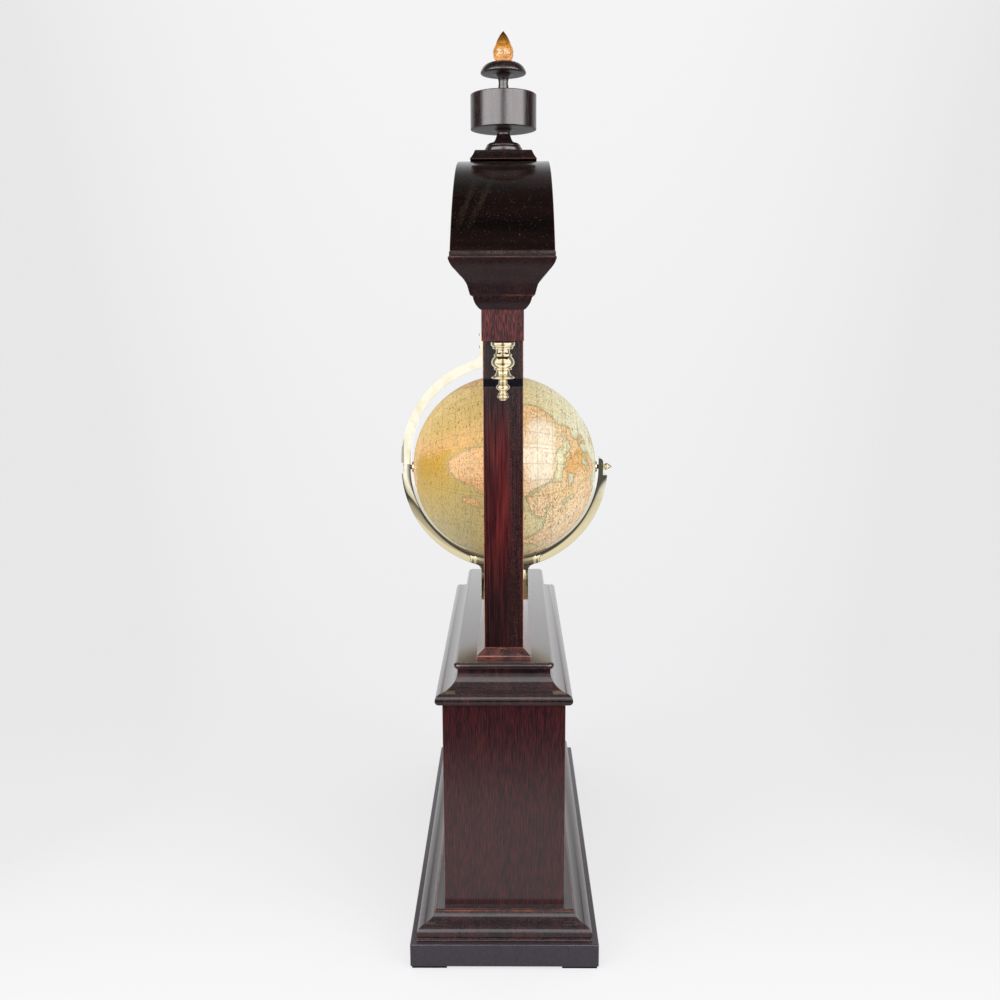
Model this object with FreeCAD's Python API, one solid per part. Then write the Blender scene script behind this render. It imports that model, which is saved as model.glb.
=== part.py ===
import FreeCAD, Part
import os
from math import asin, atan2, cos, degrees, pi, radians, sin, sqrt

# A globe clock. A pedestal carries two posts and a beam, a globe turns in a brass
# bracket between the posts, and an arched hood on the beam holds the clock movement.
# X is the width, the dial faces -Y, Z is up, and the origin is on the ground below the
# centre of the globe. All lengths are in millimetres.

# Fits shared by the whole object
RUNNING_FIT = 0.05
SEAT_FIT = 0.1
ROLL_GAP = 0.2
OVERRUN = 5.0

# Base slab and feet
SLAB_HALF_X = 234.0
SLAB_HALF_Y = 91.9
SLAB_THICKNESS = 23.8
SLAB_EDGE_RADIUS = 1.2
FOOT_THICKNESS = 2.4
FOOT_SIZE = 34.0
FOOT_INSET = 1.6

# Pedestal box
PEDESTAL_HALF_X = 203.5
PEDESTAL_HALF_Y = 59.3
PEDESTAL_HEIGHT = 233.4
PEDESTAL_BOARD = 12.0

# Base moulding, planted round the foot of the pedestal
BASE_MOULDING_OUT = 26.3
BASE_MOULDING_HEIGHT = 24.8
BASE_MOULDING_SHARES = (
    (0.965, 0.0), (1.0, 0.045, 0.965, 0.09), (0.94, 0.09), (0.94, 0.13), (0.96, 0.13),
    (0.983, 0.404, 0.72, 0.60), (0.44, 0.73, 0.36, 0.92), (0.34, 0.92), (0.34, 1.0), (0.0, 1.0),
)

# Pedestal cornice, a half-round nose under a cove
CORNICE_BEARING = 20.0
NOSE_OUT = 26.8
NOSE_RADIUS = 5.9
PEDESTAL_CORNICE_HEIGHT = 30.7
COVE_TOP = 5.6
COVE_BELLY_SHARE = 0.30
COVE_FILLET = 1.2

# Slabs that stand on the cornice
TORUS_HALF_X = 192.3
TORUS_HALF_Y = 48.8
TORUS_THICKNESS = 6.5
PLINTH_HALF_X = 182.5
PLINTH_HALF_Y = 26.8
PLINTH_THICKNESS = 10.1
PLINTH_LIP = 4.2
PLINTH_BEVEL = 7.4

# Posts and beam
POST_HALF_Y = 19.0
POST_WIDTH_X = 38.0
POST_INNER_FROM_GLOBE = 34.1
TENON_HALF = 11.0
TENON_DEPTH = 8.0
BAND_BELOW_BEAM = 43.2
BAND_HEIGHT = 7.0
BAND_DEPTH = 1.0
BAND_RECESS = 0.25
BEAM_HALF_X = 213.0
BEAM_HEIGHT = 27.7

# Brass pendants under the beam ends
PENDANT_RADIUS = 11.1
PENDANT_LENGTH = 55.2
PENDANT_SPIGOT_RADIUS = 2.5
PENDANT_SPIGOT_LENGTH = 10.0
PENDANT_SHARES = (
    (1.0, 0.0), (1.0, 0.045), (0.97, 0.085, 0.84, 0.105), (0.86, 0.125, 0.80, 0.14), (0.62, 0.145),
    (0.58, 0.18, 0.66, 0.215), (0.74, 0.22), (0.76, 0.235, 0.74, 0.25), (0.72, 0.255),
    (0.965, 0.36, 0.72, 0.452), (0.76, 0.466, 0.72, 0.48), (0.64, 0.482), (0.56, 0.505, 0.60, 0.53),
    (0.74, 0.57, 0.93, 0.592), (0.97, 0.61, 0.90, 0.627), (0.45, 0.642), (0.36, 0.655), (0.36, 0.672),
    (0.42, 0.678, 0.38, 0.69), (0.36, 0.70), (0.40, 0.715), (0.58, 0.768, 0.40, 0.822), (0.31, 0.835),
    (0.31, 0.855), (0.42, 0.865, 0.42, 0.885), (0.38, 0.89), (0.50, 0.925, 0.38, 0.957), (0.31, 0.965),
    (0.24, 0.99, 0.0, 1.0),
)

# Globe, its axle and the equator ring
GLOBE_RADIUS = 101.6
GLOBE_WALL = 3.0
ROOM_BELOW_GLOBE = 52.7
ROOM_ABOVE_GLOBE = 42.4
AXLE_RADIUS = 2.5
BUSH_RADIUS = 6.0
BUSH_LENGTH = 8.0
BUSH_PROUD = 1.4
RING_OUT = 5.2
RING_HALF_WIDTH = 2.0
ROLLER_CONTACT_OUT = 3.1
GLOBE_TURNS_RATIO = 24

# Brass brackets, cast strips in the plane of the globe's axle
BRACKET_HALF_WIDTH = 10.0
BRACKET_GAP = 2.8
BRACKET_DEPTH = 10.1
ARM_RISE = 9.0
TAB_THICKNESS = 7.2
TAB_ABOVE_BEAM_BOTTOM = 5.0
LEG_ABOVE_PLINTH = 3.3
SWAN_RADIUS = 13.0
LEG_FILLET = 8.0
NOTCH_HALF_HEIGHT = 6.0
NOTCH_DEPTH = 2.9
EAR_DEPTH = 5.2
EAR_TOP = 10.6
EAR_SHOULDER = 8.2
EAR_ROUND = 4.0
BRACKET_EDGE = 0.8

# Blocks that the brackets are screwed to
BLOCK_HALF_X = 16.0
HANGER_ABOVE_GLOBE = 10.4
STANDING_BELOW_GLOBE = 14.7

# Fasteners
SCREW_HEAD_RADIUS = 2.4
SCREW_HEAD_HEIGHT = 1.5
SCREW_SHANK_RADIUS = 1.5
SCREW_LENGTH = 15.0
SCREW_PITCH = 13.0
SCREW_END = 3.0
ACORN_RADIUS = 3.9
ACORN_LENGTH = 10.4
ACORN_SHARES = (
    (1.04, 0.0), (1.04, 0.11), (0.66, 0.15), (0.66, 0.22), (0.90, 0.26),
    (1.02, 0.48, 0.72, 0.70), (0.40, 0.86, 0.0, 1.0),
)

# Top cornice under the hood
TOP_CORNICE_OUT = 27.7
TOP_CORNICE_HEIGHT = 44.7
TOP_CORNICE_SHARES = (
    (0.03, 0.0), (0.188, 0.115, 0.262, 0.27), (0.346, 0.275), (0.433, 0.47),
    (0.515, 0.562, 0.66, 0.66), (0.80, 0.757), (0.928, 0.855, 1.0, 0.964), (1.0, 1.0), (0.0, 1.0),
)

# Hood
HOOD_HALF_Y = 46.5
HOOD_RADIUS = 276.0
HOOD_RISE = 109.4
HOOD_BOARD = 8.0
ROOF_THICKNESS = 6.0
SILL_HEIGHT = 6.0
SILL_OUT = 0.5
SILL_ROUND = 1.0

# Access door in the back of the hood
DOOR_HALF_X = 60.0
DOOR_HEIGHT = 68.0
DOOR_ABOVE_SILL = 8.0
DOOR_GAP = 0.6
HINGE_BARREL_RADIUS = 1.6
HINGE_PIN_RADIUS = 0.8
HINGE_LEAF_THICKNESS = 0.8
HINGE_LEAF_WIDTH = 9.0
HINGE_LENGTH = 18.0
HINGE_KNUCKLE = 6.0
HINGE_END_SHARE = 0.2
KNOB_RADIUS = 4.0
KNOB_LENGTH = 5.0
KNOB_INSET = 10.0
KNOB_SHARES = ((0.55, 0.0), (0.42, 0.22), (0.42, 0.38), (1.08, 0.72, 0.0, 1.0))

# Finial
PLATE_BOTTOM_HALF = 34.6
PLATE_TOP_HALF = 29.5
PLATE_HEIGHT = 10.1
PLATE_FASCIA = 1.0
FINIAL_HEIGHT = 92.4
FINIAL_RADIUS = 34.8
FINIAL_DOWEL_RADIUS = 5.0
FINIAL_DOWEL_DEPTH = 15.0
FINIAL_SHARES = (
    (0.545, 0.0), (0.575, 0.035, 0.55, 0.069), (0.53, 0.073), (0.505, 0.098, 0.43, 0.114),
    (0.295, 0.137, 0.232, 0.182), (0.213, 0.232, 0.285, 0.266), (0.94, 0.262), (1.0, 0.268), (1.0, 0.640),
    (0.98, 0.648), (0.20, 0.655), (0.165, 0.668), (0.155, 0.74), (0.158, 0.81, 0.25, 0.870),
    (0.672, 0.871), (0.690, 0.881), (0.62, 0.938, 0.30, 0.990), (0.27, 1.0),
)
SOCKET_RADIUS = 4.5
SOCKET_DEPTH = 5.0
FLAME_RADIUS = 10.0
FLAME_HEIGHT = 30.7
FLAME_SHARES = ((0.80, 0.0), (1.07, 0.24, 0.80, 0.56), (0.40, 0.84, 0.0, 1.0))

# Dial, bezel and hands
DIAL_ABOVE_SILL = 50.0
DIAL_RADIUS = 46.0
DIAL_THICKNESS = 1.2
DIAL_OPENING_RADIUS = 41.0
DIAL_CENTRE_BORE = 4.0
DIAL_FOOT_RADIUS = 2.0
DIAL_FEET_CIRCLE = 35.0
DIAL_SCREW_CIRCLE = 43.5
DIAL_SCREW_RADIUS = 1.4
DIAL_SCREW_HEIGHT = 1.0
BEZEL_INNER_RADIUS = 38.5
BEZEL_OUTER_RADIUS = 46.0
BEZEL_HEIGHT = 4.0
BEZEL_REBATE_RADIUS = 40.5
GLASS_THICKNESS = 1.2
BEZEL_HINGE_OUT = 2.6
HAND_THICKNESS = 0.7
HOUR_HAND_LENGTH = 22.0
MINUTE_HAND_LENGTH = 33.0
HAND_TAIL = 8.0
HAND_WIDTH = 3.2
HAND_POINT = 0.6
HOUR_HAND_OFF_DIAL = 2.6
MINUTE_HAND_OFF_DIAL = 4.7

# Movement between two round plates
PLATE_RADIUS = 40.0
MOVEMENT_PLATE = 2.0
MOTION_SPACE = 6.4
PLATE_SPACE = 21.0
PILLAR_RADIUS = 2.5
PILLAR_CIRCLE = 36.0
TEETH_MODULE = 0.5
ADDENDUM_SHARE = 0.85
DEDENDUM_SHARE = 1.25
TOOTH_ROOT_SHARE = 0.30
TOOTH_TIP_SHARE = 0.14
WHEEL_THICKNESS = 1.0
PINION_LENGTH = 2.2
ARBOR_RADIUS = 1.0
PIVOT_RADIUS = 0.6
CENTRE_ARBOR_RADIUS = 1.5
CANNON_RADIUS = 2.2
HOUR_PIPE_WALL = 0.9
STUD_RADIUS = 1.0
BARREL_RADIUS = 15.4
BARREL_LENGTH = 12.0
BARREL_WALL = 1.2
WINDING_RADIUS = 2.2
WINDING_PAST_DIAL = 2.4
WINDING_HOLE_GAP = 0.9
RATCHET_RADIUS = 7.5
CLICK_FROM_BARREL = 12.5
CLICK_BOSS_RADIUS = 2.0
CLICK_WIDTH = 2.4
CLICK_CLEARANCE = 0.15
SPRING_STRIP = 0.7
BALANCE_RADIUS = 8.5
BALANCE_RIM = 1.5
HAIRSPRING_STRIP = 0.25
HAIRSPRING_COILS = 5
ESCAPE_RADIUS = 8.4
ESCAPE_TOOTH = 1.8
ESCAPE_LEAN_SHARE = 0.85
PALLET_GAP = 1.1
PALLET_DEPTH = 2.2
PALLET_ARBOR_DISTANCE = 12.6
LEVER_WIDTH = 1.2
LEVER_SHORT_OF_BALANCE = 3.2
BALANCE_FROM_CENTRE = 26.5

# Tooth counts of the train
CENTRE_PINION_TEETH = 12
GREAT_TEETH = 72
CENTRE_TEETH = 64
THIRD_TEETH = 60
SMALL_PINION_TEETH = 8
CANNON_TEETH = 16
MINUTE_TEETH = 48
MINUTE_PINION_TEETH = 15
HOUR_TEETH = 60
RATCHET_TEETH = 24
ESCAPE_TEETH = 30
MITRE_TEETH = 20

# Directions of the arbors round the centre arbor, in degrees anticlockwise from +X
BARREL_ANGLE = 200.0
THIRD_ANGLE = 330.0
ESCAPE_ANGLE = 60.0
MINUTE_ANGLE = 45.0
PALLET_ANGLE = 112.0
BALANCE_ANGLE = 95.0
CLICK_ANGLE = 290.0
CLICK_TIP_ANGLE = 325.0
PILLAR_ANGLES = (60.0, 140.0, 235.0, 310.0)
DIAL_FEET_ANGLES = (45.0, 135.0, 225.0, 315.0)
HOUR_HAND_ANGLE = 305.0
MINUTE_HAND_ANGLE = 60.0
ANCHOR_SPREAD = 48.0

# Shaft that carries the drive down to the globe
SHAFT_RADIUS = 2.0
MITRE_MODULE = 0.8
MITRE_FACE = 3.0
ROLLER_HEIGHT = 4.0
ROLLER_ABOVE_GLOBE = 1.0
SHAFT_BUSH_RADIUS = 5.0
SHAFT_BUSH_LENGTH = 6.0
COLLAR_RADIUS = 4.0
COLLAR_HEIGHT = 3.0
SHAFT_BORE_RADIUS = 3.0

# Sizes that follow the globe
POST_OUTER_X = GLOBE_RADIUS + POST_INNER_FROM_GLOBE + POST_WIDTH_X
POST_HEIGHT = ROOM_BELOW_GLOBE + GLOBE_RADIUS * 2 + ROOM_ABOVE_GLOBE
GLOBE_ABOVE_PLINTH = ROOM_BELOW_GLOBE + GLOBE_RADIUS
TAB_TOP = GLOBE_RADIUS + ROOM_ABOVE_GLOBE + TAB_ABOVE_BEAM_BOTTOM
LEG_FOOT = GLOBE_ABOVE_PLINTH - LEG_ABOVE_PLINTH
HANGER_DEPTH = ROOM_ABOVE_GLOBE - HANGER_ABOVE_GLOBE
STANDING_HEIGHT = ROOM_BELOW_GLOBE - STANDING_BELOW_GLOBE

# Heights that follow from the sizes above
SLAB_TOP = FOOT_THICKNESS + SLAB_THICKNESS
PEDESTAL_TOP = SLAB_TOP + PEDESTAL_HEIGHT
TORUS_BOTTOM = PEDESTAL_TOP + PEDESTAL_CORNICE_HEIGHT
PLINTH_BOTTOM = TORUS_BOTTOM + TORUS_THICKNESS
PLINTH_TOP = PLINTH_BOTTOM + PLINTH_THICKNESS
BEAM_BOTTOM = PLINTH_TOP + POST_HEIGHT
BEAM_TOP = BEAM_BOTTOM + BEAM_HEIGHT
CORNICE_TOP = BEAM_TOP + TOP_CORNICE_HEIGHT
SILL_TOP = CORNICE_TOP + SILL_HEIGHT
HOOD_TOP = CORNICE_TOP + HOOD_RISE
HOOD_CENTRE = HOOD_TOP - HOOD_RADIUS
PLATE_TOP = HOOD_TOP + PLATE_HEIGHT
GLOBE_Z = PLINTH_TOP + GLOBE_ABOVE_PLINTH
DIAL_Z = SILL_TOP + DIAL_ABOVE_SILL

# Depths along Y that follow, from the front of the hood backwards
BOARD_BACK = HOOD_BOARD - HOOD_HALF_Y
DIAL_BACK = BOARD_BACK + DIAL_THICKNESS
FRONT_PLATE_Y = DIAL_BACK + MOTION_SPACE
TRAIN_Y = FRONT_PLATE_Y + MOVEMENT_PLATE
REAR_PLATE_Y = TRAIN_Y + PLATE_SPACE
MOVEMENT_BACK = REAR_PLATE_Y + MOVEMENT_PLATE
MITRE_RADIUS = MITRE_MODULE * MITRE_TEETH / 2
ROLLER_RADIUS = (GLOBE_RADIUS + ROLLER_CONTACT_OUT) / GLOBE_TURNS_RATIO
SHAFT_Y = RING_HALF_WIDTH + ROLL_GAP + ROLLER_RADIUS

X_AXIS = FreeCAD.Vector(1, 0, 0)
Y_AXIS = FreeCAD.Vector(0, 1, 0)
Z_AXIS = FreeCAD.Vector(0, 0, 1)


def vec(x, y, z):
    return FreeCAD.Vector(x, y, z)


def solid(shape):
    """The shape with its skin facing outwards."""
    if shape.Volume < 0:
        shape.reverse()
    return shape


def box(x_low, x_high, y_low, y_high, z_low, z_high):
    return Part.makeBox(x_high - x_low, y_high - y_low, z_high - z_low, vec(x_low, y_low, z_low))


def rod_y(radius, x, z, y_low, y_high):
    return Part.makeCylinder(radius, y_high - y_low, vec(x, y_low, z), Y_AXIS)


def rod_z(radius, x, y, z_low, z_high):
    return Part.makeCylinder(radius, z_high - z_low, vec(x, y, z_low), Z_AXIS)


def tube_y(outer, inner, x, z, y_low, y_high):
    return rod_y(outer, x, z, y_low, y_high).cut(rod_y(inner, x, z, y_low - OVERRUN, y_high + OVERRUN))


def tube_z(outer, inner, x, y, z_low, z_high):
    return rod_z(outer, x, y, z_low, z_high).cut(rod_z(inner, x, y, z_low - OVERRUN, z_high + OVERRUN))


def write(name, shapes):
    """One file for a sub-part; a list is kept as separate solids."""
    pieces = shapes if isinstance(shapes, list) else [shapes]
    solids = [solid(one) for piece in pieces for one in piece.Solids]
    result = solids[0] if len(solids) == 1 else Part.Compound(solids)
    result.exportStep("parts/" + name + ".step")


def outline(steps, place):
    """Edges through the steps; a step of four numbers is an arc through its first point.
    An arc that ends on the axis of a turned piece is made as a spline."""
    here = place(*steps[0][-2:])
    edges = []
    for step in steps[1:]:
        end = place(*step[-2:])
        if len(step) == 4:
            arc = Part.Arc(here, place(*step[:2]), end)
            edges.append(arc.toBSpline().toShape() if step[-2] == 0.0 else arc.toShape())
        else:
            edges.append(Part.LineSegment(here, end).toShape())
        here = end
    return edges


def closed_face(steps, place):
    """A face inside the outline, closed by a straight edge."""
    return Part.Face(Part.Wire(outline(list(steps) + [steps[0][-2:]], place)))


def turned(shares, radius, length, x, z_start, z_sign):
    """A piece turned about a vertical axis, its outline in shares of radius and length."""
    steps = [(0.0, shares[0][-1])] + list(shares)
    if shares[-1][-2] != 0.0:
        steps.append((0.0, shares[-1][-1]))
    face = closed_face(steps, lambda r, d: vec(x + r * radius, 0, z_start + z_sign * d * length))
    return solid(face.revolve(vec(x, 0, 0), Z_AXIS, 360))


def turned_y(shares, radius, length, x, z, y_start, y_sign):
    """The same about an axis along Y."""
    steps = [(0.0, shares[0][-1])] + list(shares)
    if shares[-1][-2] != 0.0:
        steps.append((0.0, shares[-1][-1]))
    face = closed_face(steps, lambda r, d: vec(x + r * radius, y_start + y_sign * d * length, z))
    return solid(face.revolve(vec(x, 0, z), Y_AXIS, 360))


def mitred_lengths(half_x, half_y, reach, section):
    """Four mitred lengths round a rectangle. The section function gives the face of a length
    that faces -Y, standing in the plane X = 0, for a given half depth."""
    pieces = []
    for turn in (0, 90, 180, 270):
        along, out_at = (half_x, half_y) if turn % 180 == 0 else (half_y, half_x)
        face = section(out_at)
        low = along + reach + OVERRUN
        bar = face.copy()
        bar.translate(vec(-low, 0, 0))
        bar = solid(bar.extrude(vec(low + low, 0, 0)))
        bounds = bar.BoundBox
        corners = [vec(-along, -out_at, bounds.ZMin - OVERRUN), vec(along, -out_at, bounds.ZMin - OVERRUN),
                   vec(along + low, -out_at - low, bounds.ZMin - OVERRUN),
                   vec(-along - low, -out_at - low, bounds.ZMin - OVERRUN)]
        wedge = Part.Face(Part.makePolygon(corners + [corners[0]]))
        wedge = wedge.extrude(vec(0, 0, bounds.ZLength + OVERRUN + OVERRUN))
        piece = bar.common(wedge)
        piece.rotate(vec(0, 0, 0), Z_AXIS, turn)
        pieces.append(piece)
    return pieces


def share_section(shares, out, height, z_low):
    """Section of a moulding whose outline is in shares of its projection and height."""
    steps = [(0.0, 0.0)] + list(shares)

    def section(out_at):
        return closed_face(steps, lambda a, b: vec(0, -out_at - a * out, z_low + b * height))
    return section


def at_angle(distance, angle, origin=(0.0, 0.0)):
    """A place in the XZ plane at a distance and direction from another."""
    return (origin[0] + distance * cos(radians(angle)), origin[1] + distance * sin(radians(angle)))


def gear_face(x, y, z, teeth, module, aim, tooth_at_aim, scale=1.0):
    """A toothed outline in an XZ plane, with a tooth or a gap pointing at the mate."""
    pitch_radius = module * teeth / 2
    tip = (pitch_radius + ADDENDUM_SHARE * module) * scale
    root = (pitch_radius - DEDENDUM_SHARE * module) * scale
    step = 360.0 / teeth
    start = aim if tooth_at_aim else aim + step / 2
    points = []
    for number in range(teeth):
        middle = start + number * step
        for radius, share in ((root, -TOOTH_ROOT_SHARE), (tip, -TOOTH_TIP_SHARE),
                              (tip, TOOTH_TIP_SHARE), (root, TOOTH_ROOT_SHARE)):
            angle = radians(middle + share * step)
            points.append(vec(x + radius * cos(angle), y, z + radius * sin(angle)))
    return Part.Face(Part.makePolygon(points + [points[0]]))


def gear(place, teeth, module, y_low, y_high, aim, tooth_at_aim):
    face = gear_face(place[0], y_low, DIAL_Z + place[1], teeth, module, aim, tooth_at_aim)
    return face.extrude(vec(0, y_high - y_low, 0))


def mesh_distance(first, second, module=TEETH_MODULE):
    return module * (first + second) / 2


# Places of the arbors in the XZ plane, from the centre arbor
BARREL_AT = at_angle(mesh_distance(GREAT_TEETH, CENTRE_PINION_TEETH), BARREL_ANGLE)
THIRD_AT = at_angle(mesh_distance(CENTRE_TEETH, SMALL_PINION_TEETH), THIRD_ANGLE)
ESCAPE_AT = at_angle(mesh_distance(THIRD_TEETH, SMALL_PINION_TEETH), ESCAPE_ANGLE, THIRD_AT)
MINUTE_DISTANCE = mesh_distance(CANNON_TEETH, MINUTE_TEETH)
MINUTE_AT = at_angle(MINUTE_DISTANCE, MINUTE_ANGLE)
PALLET_AT = at_angle(PALLET_ARBOR_DISTANCE, PALLET_ANGLE, ESCAPE_AT)
BALANCE_AT = at_angle(BALANCE_FROM_CENTRE, BALANCE_ANGLE)
CLICK_AT = at_angle(CLICK_FROM_BARREL, CLICK_ANGLE, BARREL_AT)
HOUR_MODULE = MINUTE_DISTANCE * 2 / (HOUR_TEETH + MINUTE_PINION_TEETH)

# Planes of the train behind the front plate, as shares of the space between the plates
BARREL_PLANE_SHARE = 0.06
THIRD_PLANE_SHARE = 0.30
ESCAPE_PLANE_SHARE = 0.16
BALANCE_PLANE_SHARE = 0.44
CENTRE_PLANE_SHARE = 0.78


def plane(share):
    return TRAIN_Y + share * PLATE_SPACE


GREAT_Y = plane(BARREL_PLANE_SHARE) + BARREL_LENGTH - BARREL_WALL


# Base

def base_slab():
    """Ebonised slab that the clock stands on, its edges just eased."""
    slab = box(-SLAB_HALF_X, SLAB_HALF_X, -SLAB_HALF_Y, SLAB_HALF_Y, FOOT_THICKNESS, SLAB_TOP)
    return slab.makeFillet(SLAB_EDGE_RADIUS, slab.Edges)


def base_feet():
    """Four thin pads under the corners of the slab."""
    pads = []
    for side_x in (-1, 1):
        for side_y in (-1, 1):
            outer_x = side_x * (SLAB_HALF_X - FOOT_INSET)
            outer_y = side_y * (SLAB_HALF_Y - FOOT_INSET)
            inner_x = outer_x - side_x * FOOT_SIZE
            inner_y = outer_y - side_y * FOOT_SIZE
            pads.append(box(min(outer_x, inner_x), max(outer_x, inner_x),
                            min(outer_y, inner_y), max(outer_y, inner_y), 0, FOOT_THICKNESS))
    return pads


def base_moulding():
    """Ogee moulding in four mitred lengths round the foot of the pedestal."""
    section = share_section(BASE_MOULDING_SHARES, BASE_MOULDING_OUT, BASE_MOULDING_HEIGHT, SLAB_TOP)
    return mitred_lengths(PEDESTAL_HALF_X, PEDESTAL_HALF_Y, BASE_MOULDING_OUT, section)


# Pedestal

def pedestal_boards():
    """The four boards of the pedestal box, mitred at the corners."""
    inner_x = PEDESTAL_HALF_X - PEDESTAL_BOARD
    inner_y = PEDESTAL_HALF_Y - PEDESTAL_BOARD
    shares = ((1.0, 0.0), (1.0, 1.0), (0.0, 1.0))
    section = share_section(shares, PEDESTAL_BOARD, PEDESTAL_HEIGHT, SLAB_TOP)
    return mitred_lengths(inner_x, inner_y, PEDESTAL_BOARD, section)


def pedestal_cornice():
    """Half-round nose with a cove above it, in four mitred lengths on top of the box."""
    half_x = PEDESTAL_HALF_X - CORNICE_BEARING
    half_y = PEDESTAL_HALF_Y - CORNICE_BEARING
    top = PEDESTAL_CORNICE_HEIGHT
    foot = NOSE_RADIUS * 2
    nose_middle = NOSE_OUT - NOSE_RADIUS
    belly_out = COVE_TOP + COVE_BELLY_SHARE * (nose_middle - COVE_TOP)
    belly_up = foot + COVE_BELLY_SHARE * (top - COVE_FILLET - foot)
    steps = ((0.0, 0.0), (nose_middle, 0.0), (NOSE_OUT, NOSE_RADIUS, nose_middle, foot),
             (belly_out, belly_up, COVE_TOP, top - COVE_FILLET), (COVE_TOP, top), (0.0, top))

    def section(out_at):
        return closed_face(steps, lambda a, b: vec(0, -out_at - a, PEDESTAL_TOP + b))
    return mitred_lengths(half_x, half_y, NOSE_OUT, section)


def torus_slab():
    """Thin slab with a half-round edge."""
    slab = box(-TORUS_HALF_X, TORUS_HALF_X, -TORUS_HALF_Y, TORUS_HALF_Y, TORUS_BOTTOM, PLINTH_BOTTOM)
    corners = [edge for edge in slab.Edges if abs(edge.tangentAt(edge.FirstParameter).z) == 1.0]
    slab = slab.makeFillet(TORUS_THICKNESS, corners)
    rims = [edge for edge in slab.Edges if edge.BoundBox.ZLength < SEAT_FIT]
    return slab.makeFillet(TORUS_THICKNESS / 2 - BAND_RECESS / 2, rims)


def plinth_slab():
    """Narrow bevelled slab under the posts, with a mortise for each post."""
    lip = box(-PLINTH_HALF_X, PLINTH_HALF_X, -PLINTH_HALF_Y, PLINTH_HALF_Y, PLINTH_BOTTOM,
              PLINTH_BOTTOM + PLINTH_LIP)
    low = rectangle(PLINTH_HALF_X, PLINTH_HALF_Y, PLINTH_BOTTOM + PLINTH_LIP)
    high = rectangle(PLINTH_HALF_X - PLINTH_BEVEL, PLINTH_HALF_Y - PLINTH_BEVEL, PLINTH_TOP)
    slab = lip.fuse(Part.makeLoft([low, high], True, True)).removeSplitter()
    for side in (-1, 1):
        slab = slab.cut(tenon(side, PLINTH_TOP - TENON_DEPTH - SEAT_FIT, PLINTH_TOP + OVERRUN, SEAT_FIT))
    return slab


def rectangle(half_x, half_y, z):
    corners = [vec(-half_x, -half_y, z), vec(half_x, -half_y, z), vec(half_x, half_y, z),
               vec(-half_x, half_y, z)]
    return Part.makePolygon(corners + [corners[0]])


# Posts, beam and pendants

def post_middle(side):
    return side * (POST_OUTER_X - POST_WIDTH_X / 2)


def tenon(side, z_low, z_high, clearance):
    middle = post_middle(side)
    half = TENON_HALF + clearance
    return box(middle - half, middle + half, -half, half, z_low, z_high)


def band_ring(side, outer_half_x, outer_half_y, z_low, z_high):
    """A square ring round a post, from the bottom of its groove outwards."""
    middle = post_middle(side)
    inner_half_x = POST_WIDTH_X / 2 - BAND_DEPTH
    inner_half_y = POST_HALF_Y - BAND_DEPTH
    ring = box(middle - outer_half_x, middle + outer_half_x, -outer_half_y, outer_half_y, z_low, z_high)
    return ring.cut(box(middle - inner_half_x, middle + inner_half_x, -inner_half_y, inner_half_y,
                        z_low - OVERRUN, z_high + OVERRUN))


def posts():
    """Two square posts with a tenon at each end and a groove for the dark band."""
    result = []
    band_low = BEAM_BOTTOM - BAND_BELOW_BEAM
    for side in (-1, 1):
        middle = post_middle(side)
        half_x = POST_WIDTH_X / 2
        post = box(middle - half_x, middle + half_x, -POST_HALF_Y, POST_HALF_Y, PLINTH_TOP, BEAM_BOTTOM)
        groove = band_ring(side, half_x + OVERRUN, POST_HALF_Y + OVERRUN, band_low, band_low + BAND_HEIGHT)
        post = post.cut(groove)
        post = post.fuse(tenon(side, PLINTH_TOP - TENON_DEPTH, PLINTH_TOP, 0))
        post = post.fuse(tenon(side, BEAM_BOTTOM, BEAM_BOTTOM + TENON_DEPTH, 0)).removeSplitter()
        result.append(post)
    return result


def post_bands():
    """Ebonised stringing let into the grooves of the posts."""
    band_low = BEAM_BOTTOM - BAND_BELOW_BEAM
    half_x = POST_WIDTH_X / 2 - BAND_RECESS
    half_y = POST_HALF_Y - BAND_RECESS
    return [band_ring(side, half_x, half_y, band_low, band_low + BAND_HEIGHT) for side in (-1, 1)]


def shaft_bore(radius, z_low, z_high):
    return rod_z(radius, 0, SHAFT_Y, z_low, z_high)


def pendant_x(side):
    return side * (POST_OUTER_X + BEAM_HALF_X) / 2


def beam():
    """Beam across the posts, bored for the drive shaft, the pendants and the bracket screw."""
    bar = box(-BEAM_HALF_X, BEAM_HALF_X, -POST_HALF_Y, POST_HALF_Y, BEAM_BOTTOM, BEAM_TOP)
    for side in (-1, 1):
        bar = bar.cut(tenon(side, BEAM_BOTTOM - OVERRUN, BEAM_BOTTOM + TENON_DEPTH + SEAT_FIT, SEAT_FIT))
        bar = bar.cut(rod_z(PENDANT_SPIGOT_RADIUS + SEAT_FIT, pendant_x(side), 0, BEAM_BOTTOM - OVERRUN,
                            BEAM_BOTTOM + PENDANT_SPIGOT_LENGTH + SEAT_FIT))
    bar = bar.cut(shaft_bore(SHAFT_BORE_RADIUS, BEAM_BOTTOM - OVERRUN, BEAM_TOP + OVERRUN))
    return bar.cut(screw_holes(SCREW_SHANK_RADIUS + SEAT_FIT))


def pendants():
    """Turned brass drops, each with a spigot up into the beam."""
    result = []
    for side in (-1, 1):
        drop = turned(PENDANT_SHARES, PENDANT_RADIUS, PENDANT_LENGTH, pendant_x(side), BEAM_BOTTOM, -1)
        spigot = rod_z(PENDANT_SPIGOT_RADIUS, pendant_x(side), 0, BEAM_BOTTOM,
                       BEAM_BOTTOM + PENDANT_SPIGOT_LENGTH)
        result.append(drop.fuse(spigot))
    return result


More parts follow.
